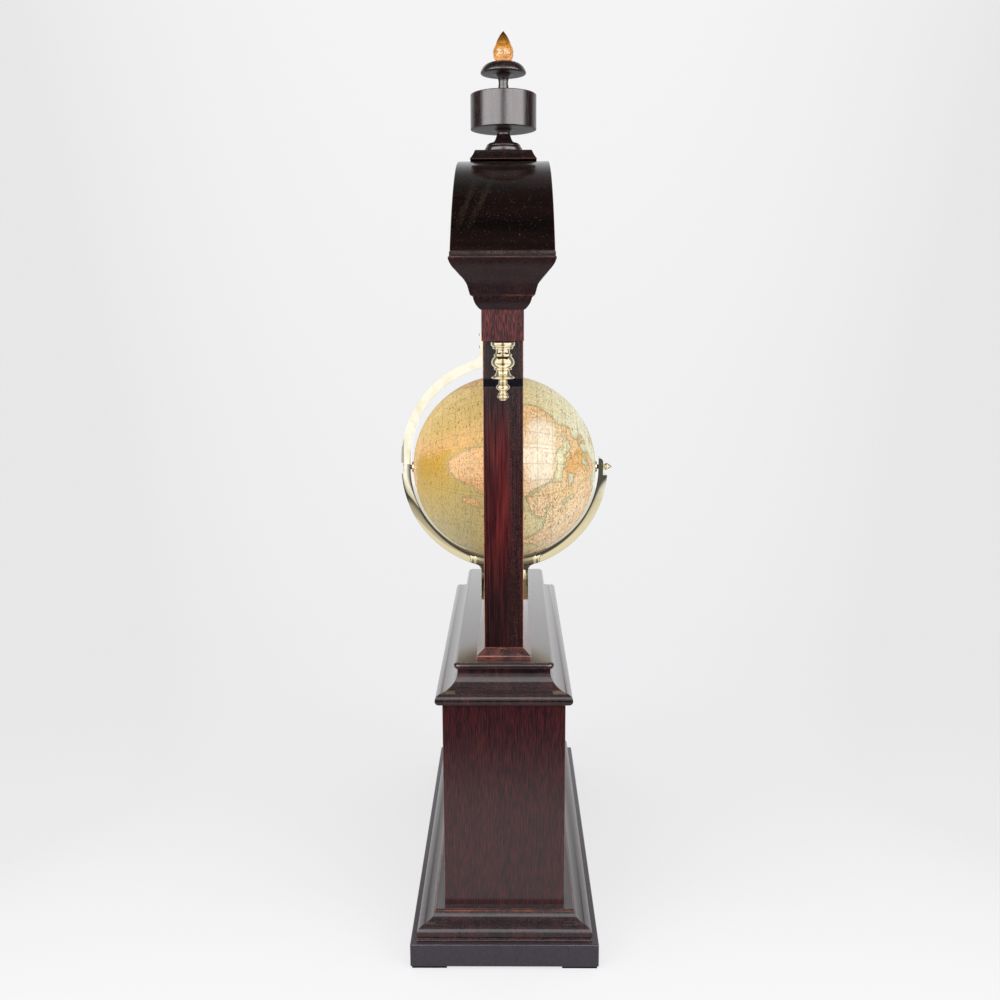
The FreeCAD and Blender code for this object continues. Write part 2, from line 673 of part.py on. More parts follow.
def hanger_block():
    """Block under the middle of the beam that carries the top of the rear bracket."""
    block = box(-BLOCK_HALF_X, BLOCK_HALF_X, -POST_HALF_Y, POST_HALF_Y, BEAM_BOTTOM - HANGER_DEPTH,
                BEAM_BOTTOM)
    block = block.cut(shaft_bore(SHAFT_BORE_RADIUS, BEAM_BOTTOM - HANGER_DEPTH - OVERRUN,
                                 BEAM_BOTTOM + OVERRUN))
    block = block.cut(shaft_bore(SHAFT_BUSH_RADIUS, BEAM_BOTTOM - HANGER_DEPTH - OVERRUN,
                                 BEAM_BOTTOM - HANGER_DEPTH + SHAFT_BUSH_LENGTH))
    return block.cut(screw_holes(SCREW_SHANK_RADIUS + SEAT_FIT))


def standing_block():
    """Block on the plinth that carries the feet of both brackets."""
    block = box(-BLOCK_HALF_X, BLOCK_HALF_X, -POST_HALF_Y, POST_HALF_Y, PLINTH_TOP,
                PLINTH_TOP + STANDING_HEIGHT)
    return block.cut(screw_holes(SCREW_SHANK_RADIUS + SEAT_FIT))


# Brackets

def bracket_face(place_side, steps):
    return closed_face(steps, lambda a, b: vec(-BRACKET_HALF_WIDTH, place_side * a, GLOBE_Z + b))


def bracket_radii():
    inner = GLOBE_RADIUS + BRACKET_GAP
    return inner, inner + BRACKET_DEPTH


def tab_lines():
    inner = POST_HALF_Y + SEAT_FIT
    return inner, inner + TAB_THICKNESS


def arc_point(radius, angle, rise=0.0):
    return (radius * cos(radians(angle)), rise + radius * sin(radians(angle)))


def lower_arm_steps():
    """Inner and outer edges of an arm from the pole down to the leg, as distances out and up."""
    inner, outer = bracket_radii()
    tab_in, tab_out = tab_lines()
    inner_join = -sqrt(inner ** 2 - tab_in ** 2)
    fillet_y = tab_out + LEG_FILLET
    fillet_z = -sqrt((outer + LEG_FILLET) ** 2 - fillet_y ** 2)
    reach = outer / (outer + LEG_FILLET)
    outer_join = (fillet_y * reach, fillet_z * reach)
    half = radians(180) + (atan2(-fillet_z, -fillet_y) + radians(180)) / 2 - radians(180)
    fillet_mid = (fillet_y + LEG_FILLET * cos(half), fillet_z + LEG_FILLET * sin(half))
    return inner_join, fillet_z, outer_join, fillet_mid


def lower_arm(top_steps):
    """Steps of a bracket from the foot of its leg, up its inner edge, over the top steps
    and down its outer edge."""
    inner, outer = bracket_radii()
    tab_in, tab_out = tab_lines()
    inner_join, fillet_z, outer_join, fillet_mid = lower_arm_steps()
    inner_mid = arc_point(inner, degrees(asin(inner_join / inner)) / 2)
    outer_end = top_steps[-1]
    first = degrees(atan2(outer_end[-1], outer_end[-2]))
    last = degrees(atan2(outer_join[1], outer_join[0]))
    outer_mid = arc_point(outer, (first + last) / 2)
    return ([(tab_in, -LEG_FOOT), (tab_in, inner_join), inner_mid + (inner, 0.0)] + list(top_steps)
            + [outer_mid + outer_join, fillet_mid + (tab_out, fillet_z), (tab_out, -LEG_FOOT)])


def bracket_body(side, steps):
    strip = solid(bracket_face(side, steps).extrude(vec(BRACKET_HALF_WIDTH * 2, 0, 0)))
    return strip.cut(screw_holes(SCREW_SHANK_RADIUS + SEAT_FIT))


def rear_bracket():
    """Cast brass strip from the hanger block, round behind the globe to the standing block."""
    inner, outer = bracket_radii()
    tab_in, tab_out = tab_lines()
    top_in = ARM_RISE + sqrt(inner ** 2 - tab_in ** 2)
    swan_y = tab_out + SWAN_RADIUS
    swan_z = ARM_RISE + sqrt((outer + SWAN_RADIUS) ** 2 - swan_y ** 2)
    reach = outer / (outer + SWAN_RADIUS)
    swan_join = (swan_y * reach, ARM_RISE + (swan_z - ARM_RISE) * reach)
    turn = (degrees(atan2(swan_z - ARM_RISE, swan_y)) + 180 + 180) / 2
    swan_mid = (swan_y + SWAN_RADIUS * cos(radians(turn)), swan_z + SWAN_RADIUS * sin(radians(turn)))
    inner_mid = arc_point(inner, degrees(asin((top_in - ARM_RISE) / inner)) / 2, ARM_RISE)
    outer_mid = arc_point(outer, degrees(atan2(swan_z - ARM_RISE, swan_y)) / 2, ARM_RISE)
    top = [(inner, ARM_RISE), inner_mid + (tab_in, top_in), (tab_in, TAB_TOP), (tab_out, TAB_TOP),
           (tab_out, swan_z), swan_mid + swan_join, outer_mid + (outer, ARM_RISE), (outer, 0.0)]
    strip = bracket_body(1, lower_arm(top))
    notch = box(-BRACKET_HALF_WIDTH - OVERRUN, BRACKET_HALF_WIDTH + OVERRUN, outer - NOTCH_DEPTH,
                outer + OVERRUN,
                GLOBE_Z - NOTCH_HALF_HEIGHT, GLOBE_Z + NOTCH_HALF_HEIGHT)
    return strip.cut(notch).cut(rod_y(AXLE_RADIUS + SEAT_FIT, 0, GLOBE_Z, 0, outer + OVERRUN))


def front_bracket():
    """Cast brass strip from the standing block up to the pole in front, thinned to an ear."""
    inner, outer = bracket_radii()
    ear = inner + EAR_DEPTH
    shoulder = sqrt(outer ** 2 - EAR_SHOULDER ** 2)
    round_share = 1 - sqrt(0.5)
    top = [(inner, EAR_TOP), (ear - EAR_ROUND, EAR_TOP),
           (ear - EAR_ROUND * round_share, EAR_TOP - EAR_ROUND * round_share, ear, EAR_TOP - EAR_ROUND),
           (ear, -EAR_SHOULDER), (shoulder, -EAR_SHOULDER)]
    strip = bracket_body(-1, lower_arm(top))
    return strip.cut(rod_y(AXLE_RADIUS + SEAT_FIT, 0, GLOBE_Z, -outer - OVERRUN, 0))


def screw_places():
    """Side and height of each bracket screw."""
    top = GLOBE_Z + TAB_TOP - SCREW_END
    foot = GLOBE_Z - LEG_FOOT + SCREW_END
    return ((1, top), (1, top - SCREW_PITCH), (1, foot), (1, foot + SCREW_PITCH),
            (-1, foot), (-1, foot + SCREW_PITCH))


def screw_holes(radius):
    tab_in, tab_out = tab_lines()
    holes = []
    for side, z in screw_places():
        deep = side * (tab_out - SCREW_LENGTH - SEAT_FIT)
        far = side * (tab_out + OVERRUN)
        holes.append(rod_y(radius, 0, z, min(deep, far), max(deep, far)))
    return Part.Compound(holes)


def bracket_screws():
    """Round-headed screws through the tab and the legs of the brackets."""
    tab_in, tab_out = tab_lines()
    dome = (SCREW_HEAD_RADIUS ** 2 + SCREW_HEAD_HEIGHT ** 2) / (2 * SCREW_HEAD_HEIGHT)
    result = []
    for side, z in screw_places():
        ball = Part.makeSphere(dome, vec(0, side * (tab_out + SCREW_HEAD_HEIGHT - dome), z))
        near = side * tab_out
        far = side * (tab_out + SCREW_HEAD_HEIGHT)
        head = ball.common(rod_y(SCREW_HEAD_RADIUS + SEAT_FIT, 0, z, min(near, far), max(near, far)))
        deep = side * (tab_out - SCREW_LENGTH)
        result.append(head.fuse(rod_y(SCREW_SHANK_RADIUS, 0, z, min(near, deep), max(near, deep))))
    return result


# Globe

def globe_axle():
    """Steel rod from the notch of the rear bracket to the acorn nut."""
    inner, outer = bracket_radii()
    head = rod_y(NOTCH_HALF_HEIGHT - NOTCH_DEPTH / 2, 0, GLOBE_Z, outer - NOTCH_DEPTH,
                 outer - NOTCH_DEPTH / 2)
    slot = box(-SCREW_HEAD_RADIUS * 2, SCREW_HEAD_RADIUS * 2, outer - NOTCH_DEPTH * 3 / 4, outer,
               GLOBE_Z - SCREW_SHANK_RADIUS / 3, GLOBE_Z + SCREW_SHANK_RADIUS / 3)
    end = -(inner + EAR_DEPTH + ACORN_LENGTH / 2)
    return head.fuse(rod_y(AXLE_RADIUS, 0, GLOBE_Z, end, outer - NOTCH_DEPTH)).cut(slot)


def acorn_nut():
    """Brass acorn nut on the front end of the axle."""
    inner, outer = bracket_radii()
    start = -(inner + EAR_DEPTH)
    nut = turned_y(ACORN_SHARES, ACORN_RADIUS, ACORN_LENGTH, 0, GLOBE_Z, start, -1)
    return nut.cut(rod_y(AXLE_RADIUS, 0, GLOBE_Z, start - ACORN_LENGTH / 2, start + OVERRUN))


def globe_shell():
    """Hollow globe with a round hole for a bush at each pole."""
    centre = vec(0, 0, GLOBE_Z)
    ball = Part.makeSphere(GLOBE_RADIUS, centre, X_AXIS)
    ball = ball.cut(Part.makeSphere(GLOBE_RADIUS - GLOBE_WALL, centre, X_AXIS))
    return ball.cut(rod_y(BUSH_RADIUS, 0, GLOBE_Z, -GLOBE_RADIUS - OVERRUN, GLOBE_RADIUS + OVERRUN))


def pole_bushes():
    """Brass bushes fixed in the poles; they run on the axle."""
    end = GLOBE_RADIUS + BUSH_PROUD
    return [tube_y(BUSH_RADIUS, AXLE_RADIUS + RUNNING_FIT, 0, GLOBE_Z, end - BUSH_LENGTH, end),
            tube_y(BUSH_RADIUS, AXLE_RADIUS + RUNNING_FIT, 0, GLOBE_Z, -end, BUSH_LENGTH - end)]


def equator_ring():
    """Flat brass ring round the equator; the drive roller runs on its back."""
    return tube_y(GLOBE_RADIUS + RING_OUT, GLOBE_RADIUS + SEAT_FIT, 0, GLOBE_Z, -RING_HALF_WIDTH,
                  RING_HALF_WIDTH)


# Top cornice

def cornice_core():
    """Timber between the beam and the hood, bored for the drive shaft."""
    core = box(-BEAM_HALF_X, BEAM_HALF_X, -POST_HALF_Y, POST_HALF_Y, BEAM_TOP, CORNICE_TOP)
    return core.cut(shaft_bore(SHAFT_BORE_RADIUS, BEAM_TOP - OVERRUN, CORNICE_TOP + OVERRUN))


def top_cornice():
    """Stacked moulding in four mitred lengths round the core."""
    section = share_section(TOP_CORNICE_SHARES, TOP_CORNICE_OUT, TOP_CORNICE_HEIGHT, BEAM_TOP)
    return mitred_lengths(BEAM_HALF_X, POST_HALF_Y, TOP_CORNICE_OUT, section)


# Hood

def hood_chord(radius, z):
    return sqrt(radius ** 2 - (z - HOOD_CENTRE) ** 2)


def arch_board(radius, y_low, y_high):
    """Board with a flat foot on the sill and an arched top."""
    half = hood_chord(radius, SILL_TOP)
    steps = ((-half, SILL_TOP), (half, SILL_TOP), (0.0, HOOD_CENTRE + radius, -half, SILL_TOP))
    edges = outline(steps, lambda a, b: vec(a, y_low, b))
    return solid(Part.Face(Part.Wire(edges)).extrude(vec(0, y_high - y_low, 0)))


def hood_sill():
    """Floor of the hood, standing out a little from its outline, with a rounded upper edge."""
    half_x = hood_chord(HOOD_RADIUS, SILL_TOP) + SILL_OUT
    half_y = HOOD_HALF_Y + SILL_OUT
    sill = box(-half_x, half_x, -half_y, half_y, CORNICE_TOP, SILL_TOP)
    sill = sill.makeFillet(SILL_ROUND,
                           [edge for edge in sill.Edges if edge.BoundBox.ZMin > CORNICE_TOP + SILL_ROUND])
    return sill.cut(shaft_bore(SHAFT_BUSH_RADIUS, CORNICE_TOP - OVERRUN, SILL_TOP + OVERRUN))


def hood_front_board():
    """Front of the hood with the round opening for the dial."""
    board = arch_board(HOOD_RADIUS - ROOF_THICKNESS, -HOOD_HALF_Y, BOARD_BACK)
    board = board.cut(rod_y(DIAL_OPENING_RADIUS, 0, DIAL_Z, -HOOD_HALF_Y - OVERRUN, BOARD_BACK + OVERRUN))
    hole = DIAL_SCREW_RADIUS / 2 + RUNNING_FIT
    return board.cut(dial_screw_rods(hole, BOARD_BACK - HOOD_BOARD / 2, BOARD_BACK + OVERRUN))


def door_heights():
    low = SILL_TOP + DOOR_ABOVE_SILL
    return low, low + DOOR_HEIGHT


def hood_rear_board():
    """Back of the hood with the opening for the access door."""
    low, high = door_heights()
    board = arch_board(HOOD_RADIUS - ROOF_THICKNESS, HOOD_HALF_Y - HOOD_BOARD, HOOD_HALF_Y)
    return board.cut(box(-DOOR_HALF_X, DOOR_HALF_X, 0, HOOD_HALF_Y + OVERRUN, low, high))


def hood_roof():
    """Arched roof over both boards."""
    outer = arch_board(HOOD_RADIUS, -HOOD_HALF_Y, HOOD_HALF_Y)
    inner = arch_board(HOOD_RADIUS - ROOF_THICKNESS, -HOOD_HALF_Y - OVERRUN, HOOD_HALF_Y + OVERRUN)
    roof = outer.cut(inner)
    hole = FINIAL_DOWEL_RADIUS + SEAT_FIT
    return roof.cut(rod_z(hole, 0, 0, HOOD_TOP - ROOF_THICKNESS - OVERRUN, HOOD_TOP + OVERRUN))


def hood_door():
    """Access door, flush with the back of the hood."""
    low, high = door_heights()
    return box(-DOOR_HALF_X + DOOR_GAP, DOOR_HALF_X - DOOR_GAP, HOOD_HALF_Y - HOOD_BOARD, HOOD_HALF_Y,
               low + DOOR_GAP, high - DOOR_GAP)


def hinge_heights():
    low, high = door_heights()
    inset = HINGE_END_SHARE * DOOR_HEIGHT
    return (low + inset, high - inset)


def hinge_axis():
    return -DOOR_HALF_X, HOOD_HALF_Y + HINGE_BARREL_RADIUS


def hinge_leaf(side, knuckle_low, knuckle_high, z, bore):
    """A leaf on one side of the hinge line with one knuckle round the pin."""
    x, y = hinge_axis()
    x_far = x + side * HINGE_LEAF_WIDTH
    x_near = x + side * HINGE_BARREL_RADIUS
    face = HOOD_HALF_Y + HINGE_LEAF_THICKNESS
    leaf = box(min(x_near, x_far), max(x_near, x_far), HOOD_HALF_Y, face, z - HINGE_LENGTH / 2,
               z + HINGE_LENGTH / 2)
    neck = box(min(x, x_near), max(x, x_near), HOOD_HALF_Y, face, knuckle_low, knuckle_high)
    knuckle = rod_z(HINGE_BARREL_RADIUS, x, y, knuckle_low, knuckle_high)
    leaf = leaf.fuse(neck).fuse(knuckle)
    return leaf.cut(rod_z(bore, x, y, knuckle_low - OVERRUN, knuckle_high + OVERRUN))


def door_hinge_fixed():
    """Hinge leaves on the back board, each with its pin."""
    x, y = hinge_axis()
    result = []
    for z in hinge_heights():
        low = z - HINGE_LENGTH / 2
        leaf = hinge_leaf(-1, low, low + HINGE_KNUCKLE, z, HINGE_PIN_RADIUS)
        pin = rod_z(HINGE_PIN_RADIUS, x, y, low, low + HINGE_KNUCKLE * 2 + SEAT_FIT)
        result.append(leaf.fuse(pin))
    return result


def door_hinge_moving():
    """Hinge leaves on the door, lifted onto the pins."""
    result = []
    for z in hinge_heights():
        low = z - HINGE_LENGTH / 2 + HINGE_KNUCKLE + SEAT_FIT
        result.append(hinge_leaf(1, low, low + HINGE_KNUCKLE, z, HINGE_PIN_RADIUS + RUNNING_FIT))
    return result


def door_knob():
    low, high = door_heights()
    return turned_y(KNOB_SHARES, KNOB_RADIUS, KNOB_LENGTH, DOOR_HALF_X - KNOB_INSET, (low + high) / 2,
                    HOOD_HALF_Y, 1)


# Finial

def finial_plate():
    """Square plate with hollowed sides, on the crown of the roof."""
    def section(out_at):
        out = PLATE_BOTTOM_HALF - out_at
        top = PLATE_TOP_HALF - out_at
        belly = (out * 2 + top * 3) / 5
        rise = (PLATE_FASCIA + PLATE_HEIGHT) / 2
        steps = ((0.0, 0.0), (out, 0.0), (out, PLATE_FASCIA), (belly, rise, top, PLATE_HEIGHT),
                 (0.0, PLATE_HEIGHT))
        return closed_face(steps, lambda a, b: vec(0, -out_at - a, HOOD_TOP + b))
    core = PLATE_TOP_HALF / 2
    plate = box(-core, core, -core, core, HOOD_TOP, PLATE_TOP)
    for length in mitred_lengths(core, core, PLATE_BOTTOM_HALF, section):
        plate = plate.fuse(length)
    plate = plate.removeSplitter()
    return plate.cut(rod_z(FINIAL_DOWEL_RADIUS + SEAT_FIT, 0, 0, HOOD_TOP - OVERRUN, PLATE_TOP + OVERRUN))


def finial_turning():
    """Turned finial with its drum and saucer, a dowel below and a socket for the flame."""
    body = turned(FINIAL_SHARES, FINIAL_RADIUS, FINIAL_HEIGHT, 0, PLATE_TOP, 1)
    body = body.fuse(rod_z(FINIAL_DOWEL_RADIUS, 0, 0, PLATE_TOP - FINIAL_DOWEL_DEPTH, PLATE_TOP))
    top = PLATE_TOP + FINIAL_HEIGHT
    return body.cut(rod_z(SOCKET_RADIUS, 0, 0, top - SOCKET_DEPTH, top + OVERRUN))


def flame():
    """Glass flame with a stub in the socket of the finial."""
    bottom = PLATE_TOP + FINIAL_HEIGHT
    glass = turned(FLAME_SHARES, FLAME_RADIUS, FLAME_HEIGHT, 0, bottom, 1)
    return glass.fuse(rod_z(SOCKET_RADIUS - SEAT_FIT, 0, 0, bottom - SOCKET_DEPTH + SEAT_FIT, bottom))


# Dial, bezel and hands

def round_places(circle):
    return [at_angle(circle, angle) for angle in DIAL_FEET_ANGLES]


def dial_screw_rods(radius, y_low, y_high):
    return Part.Compound([rod_y(radius, x, DIAL_Z + z, y_low, y_high)
                          for x, z in round_places(DIAL_SCREW_CIRCLE)])


def dial():
    """Enamelled dial plate with four feet to the movement and a hole for each arbor."""
    plate = rod_y(DIAL_RADIUS, 0, DIAL_Z, BOARD_BACK, DIAL_BACK)
    for x, z in round_places(DIAL_FEET_CIRCLE):
        plate = plate.fuse(rod_y(DIAL_FOOT_RADIUS, x, DIAL_Z + z, DIAL_BACK, FRONT_PLATE_Y))
    low = BOARD_BACK - OVERRUN
    high = DIAL_BACK + OVERRUN
    plate = plate.cut(rod_y(DIAL_CENTRE_BORE, 0, DIAL_Z, low, high))
    plate = plate.cut(rod_y(WINDING_RADIUS + WINDING_HOLE_GAP, BARREL_AT[0], DIAL_Z + BARREL_AT[1], low,
                            high))
    return plate.cut(dial_screw_rods(DIAL_SCREW_RADIUS / 2 + RUNNING_FIT, low, high))


def dial_screws():
    """Small screws that hold the dial to the back of the front board."""
    heads = dial_screw_rods(DIAL_SCREW_RADIUS, DIAL_BACK, DIAL_BACK + DIAL_SCREW_HEIGHT)
    shanks = dial_screw_rods(DIAL_SCREW_RADIUS / 2, BOARD_BACK - HOOD_BOARD / 2, DIAL_BACK)
    return [head.fuse(shank) for head, shank in zip(heads.Solids, shanks.Solids)]


def bezel_front():
    return -HOOD_HALF_Y - SEAT_FIT - BEZEL_HEIGHT


def bezel_hinge_axis():
    return -(BEZEL_OUTER_RADIUS + BEZEL_HINGE_OUT), -HOOD_HALF_Y - HINGE_BARREL_RADIUS - SEAT_FIT


def bezel():
    """Brass ring that holds the glass, with a hinge knuckle at the left."""
    back = -HOOD_HALF_Y - SEAT_FIT
    ring = tube_y(BEZEL_OUTER_RADIUS, BEZEL_INNER_RADIUS, 0, DIAL_Z, bezel_front(), back)
    rim = [edge for edge in ring.Edges if abs(edge.BoundBox.YMin - bezel_front()) < SEAT_FIT
           and abs(edge.BoundBox.XMax - BEZEL_OUTER_RADIUS) < SEAT_FIT and edge.BoundBox.YLength < SEAT_FIT]
    ring = ring.makeFillet(BEZEL_HEIGHT / 2, rim)
    ring = ring.cut(rod_y(BEZEL_REBATE_RADIUS, 0, DIAL_Z, bezel_front() + BEZEL_HEIGHT / 2, back + OVERRUN))
    x, y = bezel_hinge_axis()
    half = HINGE_KNUCKLE / 2
    tongue = box(x, -BEZEL_OUTER_RADIUS + BEZEL_HINGE_OUT, y - HINGE_LEAF_THICKNESS / 2,
                 y + HINGE_LEAF_THICKNESS / 2,
                 DIAL_Z - half, DIAL_Z + half)
    knuckle = rod_z(HINGE_BARREL_RADIUS, x, y, DIAL_Z - half, DIAL_Z + half)
    bore = rod_z(HINGE_PIN_RADIUS + RUNNING_FIT, x, y, DIAL_Z - HINGE_KNUCKLE, DIAL_Z + HINGE_KNUCKLE)
    return ring.fuse(tongue).fuse(knuckle).cut(bore)


def bezel_glass():
    """Flat glass in the rebate of the bezel."""
    front = bezel_front() + BEZEL_HEIGHT / 2
    return rod_y(BEZEL_REBATE_RADIUS - RUNNING_FIT, 0, DIAL_Z, front, front + GLASS_THICKNESS)


def bezel_hinge():
    """Fixed leaf with two knuckles and the pin, on the front board."""
    x, y = bezel_hinge_axis()
    half = HINGE_KNUCKLE / 2 + SEAT_FIT
    end = half + HINGE_KNUCKLE / 2
    leaf = box(x - HINGE_LEAF_WIDTH / 2, x, -HOOD_HALF_Y - HINGE_LEAF_THICKNESS, -HOOD_HALF_Y,
               DIAL_Z - end, DIAL_Z + end)
    relief = rod_z(HINGE_BARREL_RADIUS + SEAT_FIT, x, y, DIAL_Z - half, DIAL_Z + half)
    leaf = leaf.cut(relief)
    for low, high in ((-end, -half), (half, end)):
        leaf = leaf.fuse(rod_z(HINGE_BARREL_RADIUS, x, y, DIAL_Z + low, DIAL_Z + high))
    return leaf.fuse(rod_z(HINGE_PIN_RADIUS, x, y, DIAL_Z - end, DIAL_Z + end))


def hand(length, y_low, hub_bore, angle):
    """A tapered hand with a round hub and a short tail."""
    half = HAND_WIDTH / 2
    corners = ((-half / 2, -HAND_TAIL), (half / 2, -HAND_TAIL), (half, 0.0),
               (HAND_POINT / 2, length), (-HAND_POINT / 2, length), (-half, 0.0))
    face = closed_face(corners, lambda a, b: vec(a, y_low, DIAL_Z + b))
    blade = solid(face.extrude(vec(0, HAND_THICKNESS, 0)))
    blade = blade.fuse(rod_y(hub_bore + HAND_WIDTH / 2, 0, DIAL_Z, y_low, y_low + HAND_THICKNESS))
    blade = blade.cut(rod_y(hub_bore, 0, DIAL_Z, y_low - OVERRUN, y_low + OVERRUN))
    blade.rotate(vec(0, 0, DIAL_Z), Y_AXIS, angle)
    return blade


def hour_pipe_radii():
    bore = CANNON_RADIUS + SEAT_FIT
    return bore, bore + HOUR_PIPE_WALL


def hour_hand():
    y = BOARD_BACK - HOUR_HAND_OFF_DIAL - HAND_THICKNESS
    return hand(HOUR_HAND_LENGTH, y, hour_pipe_radii()[1] + RUNNING_FIT, HOUR_HAND_ANGLE)


def minute_hand():
    y = BOARD_BACK - MINUTE_HAND_OFF_DIAL - HAND_THICKNESS
    return hand(MINUTE_HAND_LENGTH, y, CANNON_RADIUS + RUNNING_FIT, MINUTE_HAND_ANGLE)


# Movement frame

def plate_pivots(radius, y_low, y_high, places):
    return Part.Compound([rod_y(radius, x, DIAL_Z + z, y_low, y_high) for x, z in places])


def train_places():
    return (THIRD_AT, ESCAPE_AT, PALLET_AT, BALANCE_AT)


def movement_plate(y_low):
    low = y_low - OVERRUN
    high = y_low + OVERRUN
    plate = rod_y(PLATE_RADIUS, 0, DIAL_Z, y_low, y_low + MOVEMENT_PLATE)
    plate = plate.cut(plate_pivots(PIVOT_RADIUS + RUNNING_FIT, low, high, train_places()))
    plate = plate.cut(rod_y(CENTRE_ARBOR_RADIUS + RUNNING_FIT, 0, DIAL_Z, low, high))
    return plate.cut(rod_y(WINDING_RADIUS + RUNNING_FIT, BARREL_AT[0], DIAL_Z + BARREL_AT[1], low, high))


def movement_front_plate():
    """Front plate with the studs that the minute wheel and the click turn on."""
    plate = movement_plate(FRONT_PLATE_Y)
    for place, end in ((MINUTE_AT, DIAL_BACK + SEAT_FIT), (CLICK_AT, FRONT_PLATE_Y - WHEEL_THICKNESS * 2)):
        plate = plate.fuse(rod_y(STUD_RADIUS, place[0], DIAL_Z + place[1], end, FRONT_PLATE_Y))
    return plate


def movement_rear_plate():
    return movement_plate(REAR_PLATE_Y)


def movement_pillars():
    places = [at_angle(PILLAR_CIRCLE, angle) for angle in PILLAR_ANGLES]
    return [rod_y(PILLAR_RADIUS, x, DIAL_Z + z, TRAIN_Y, REAR_PLATE_Y) for x, z in places]


def arbor(place, radius):
    """A plain arbor between the plates with a finer pivot at each end."""
    x, z = place[0], DIAL_Z + place[1]
    body = rod_y(radius, x, z, TRAIN_Y + SEAT_FIT, REAR_PLATE_Y - SEAT_FIT)
    pivots = rod_y(PIVOT_RADIUS, x, z, FRONT_PLATE_Y, MOVEMENT_BACK)
    return body.fuse(pivots)


# Movement wheels

def facing(origin, target):
    return degrees(atan2(target[1] - origin[1], target[0] - origin[0]))


def barrel():
    """Spring barrel with the great wheel at its back end."""
    x, z = BARREL_AT[0], DIAL_Z + BARREL_AT[1]
    front = plane(BARREL_PLANE_SHARE)
    drum = rod_y(BARREL_RADIUS, x, z, front, GREAT_Y)
    aim = facing(BARREL_AT, (0.0, 0.0))
    wheel = gear(BARREL_AT, GREAT_TEETH, TEETH_MODULE, GREAT_Y, GREAT_Y + BARREL_WALL, aim, True)
    hollow = rod_y(BARREL_RADIUS - BARREL_WALL, x, z, front + BARREL_WALL, GREAT_Y)
    bore = rod_y(WINDING_RADIUS + RUNNING_FIT, x, z, front - OVERRUN, GREAT_Y + OVERRUN)
    return drum.fuse(wheel).cut(hollow).cut(bore)


def spiral_strip(place, first_radius, strip, gap, turns, y_low, y_high):
    """A flat spiral of half-turn arcs, for a mainspring or a balance spring."""
    x, z = place[0], DIAL_Z + place[1]
    pitch = strip + gap
    outer_steps = []
    inner_steps = []
    for half in range(turns * 2 + 1):
        sign = 1 if half % 2 == 0 else -1
        radius = first_radius + pitch * half / 2
        outer_steps.append((x + sign * (radius + strip), radius))
        inner_steps.append((x + sign * radius, radius))
    edges = []
    for steps, extra in ((outer_steps, strip), (inner_steps, 0.0)):
        for number in range(len(steps) - 1):
            begin, end = steps[number][0], steps[number + 1][0]
            side = 1 if number % 2 == 0 else -1
            middle = vec((begin + end) / 2, y_low, z + side * abs(end - begin) / 2)
            edges.append(Part.Arc(vec(begin, y_low, z), middle, vec(end, y_low, z)).toShape())
    edges.append(Part.LineSegment(vec(outer_steps[0][0], y_low, z),
                                  vec(inner_steps[0][0], y_low, z)).toShape())
    edges.append(Part.LineSegment(vec(outer_steps[-1][0], y_low, z),
                                  vec(inner_steps[-1][0], y_low, z)).toShape())
    face = Part.Face(Part.Wire(Part.__sortEdges__(edges)))
    return solid(face.extrude(vec(0, y_high - y_low, 0)))


def mainspring():
    """Coiled steel strip in the barrel."""
    front = plane(BARREL_PLANE_SHARE) + BARREL_WALL
    first = WINDING_RADIUS + SPRING_STRIP
    room = BARREL_RADIUS - BARREL_WALL - first - SPRING_STRIP - ROLL_GAP
    turns = int(room / (SPRING_STRIP * 2))
    return spiral_strip(BARREL_AT, first, SPRING_STRIP, SPRING_STRIP, turns, front + ROLL_GAP,
                        GREAT_Y - ROLL_GAP)


def winding_arbor():
    """Arbor with a square end behind the glass and the ratchet wheel on the front plate."""
    x, z = BARREL_AT[0], DIAL_Z + BARREL_AT[1]
    square = WINDING_RADIUS * sqrt(0.5)
    front = BOARD_BACK - WINDING_PAST_DIAL
    body = rod_y(WINDING_RADIUS, x, z, FRONT_PLATE_Y - WHEEL_THICKNESS * 2, MOVEMENT_BACK)
    end = box(x - square, x + square, front, FRONT_PLATE_Y - WHEEL_THICKNESS * 2, z - square, z + square)
    back = FRONT_PLATE_Y - SEAT_FIT
    ratchet = gear(BARREL_AT, RATCHET_TEETH, ratchet_module(), back - WHEEL_THICKNESS, back, 0.0, True)
    return body.fuse(end).fuse(ratchet)


def ratchet_module():
    return RATCHET_RADIUS * 2 / RATCHET_TEETH


def click():
    """Click that keeps the ratchet from running back, on its stud."""
    y = FRONT_PLATE_Y - WHEEL_THICKNESS - SEAT_FIT
    reach = RATCHET_RADIUS + ADDENDUM_SHARE * ratchet_module() + CLICK_CLEARANCE
    tip = at_angle(reach, CLICK_TIP_ANGLE, BARREL_AT)
    away_x, away_z = CLICK_AT[0] - tip[0], CLICK_AT[1] - tip[1]
    share = CLICK_WIDTH / 2 / sqrt(away_x ** 2 + away_z ** 2)
    corners = (tip, (CLICK_AT[0] - away_z * share, CLICK_AT[1] + away_x * share),
               (CLICK_AT[0] + away_z * share, CLICK_AT[1] - away_x * share))
    arm = solid(closed_face(corners, lambda a, b: vec(a, y, DIAL_Z + b)).extrude(vec(0, WHEEL_THICKNESS, 0)))
    x, z = CLICK_AT[0], DIAL_Z + CLICK_AT[1]
    boss = rod_y(CLICK_BOSS_RADIUS, x, z, y, y + WHEEL_THICKNESS)
    return arm.fuse(boss).cut(rod_y(STUD_RADIUS + RUNNING_FIT, x, z, y - OVERRUN, y + OVERRUN))


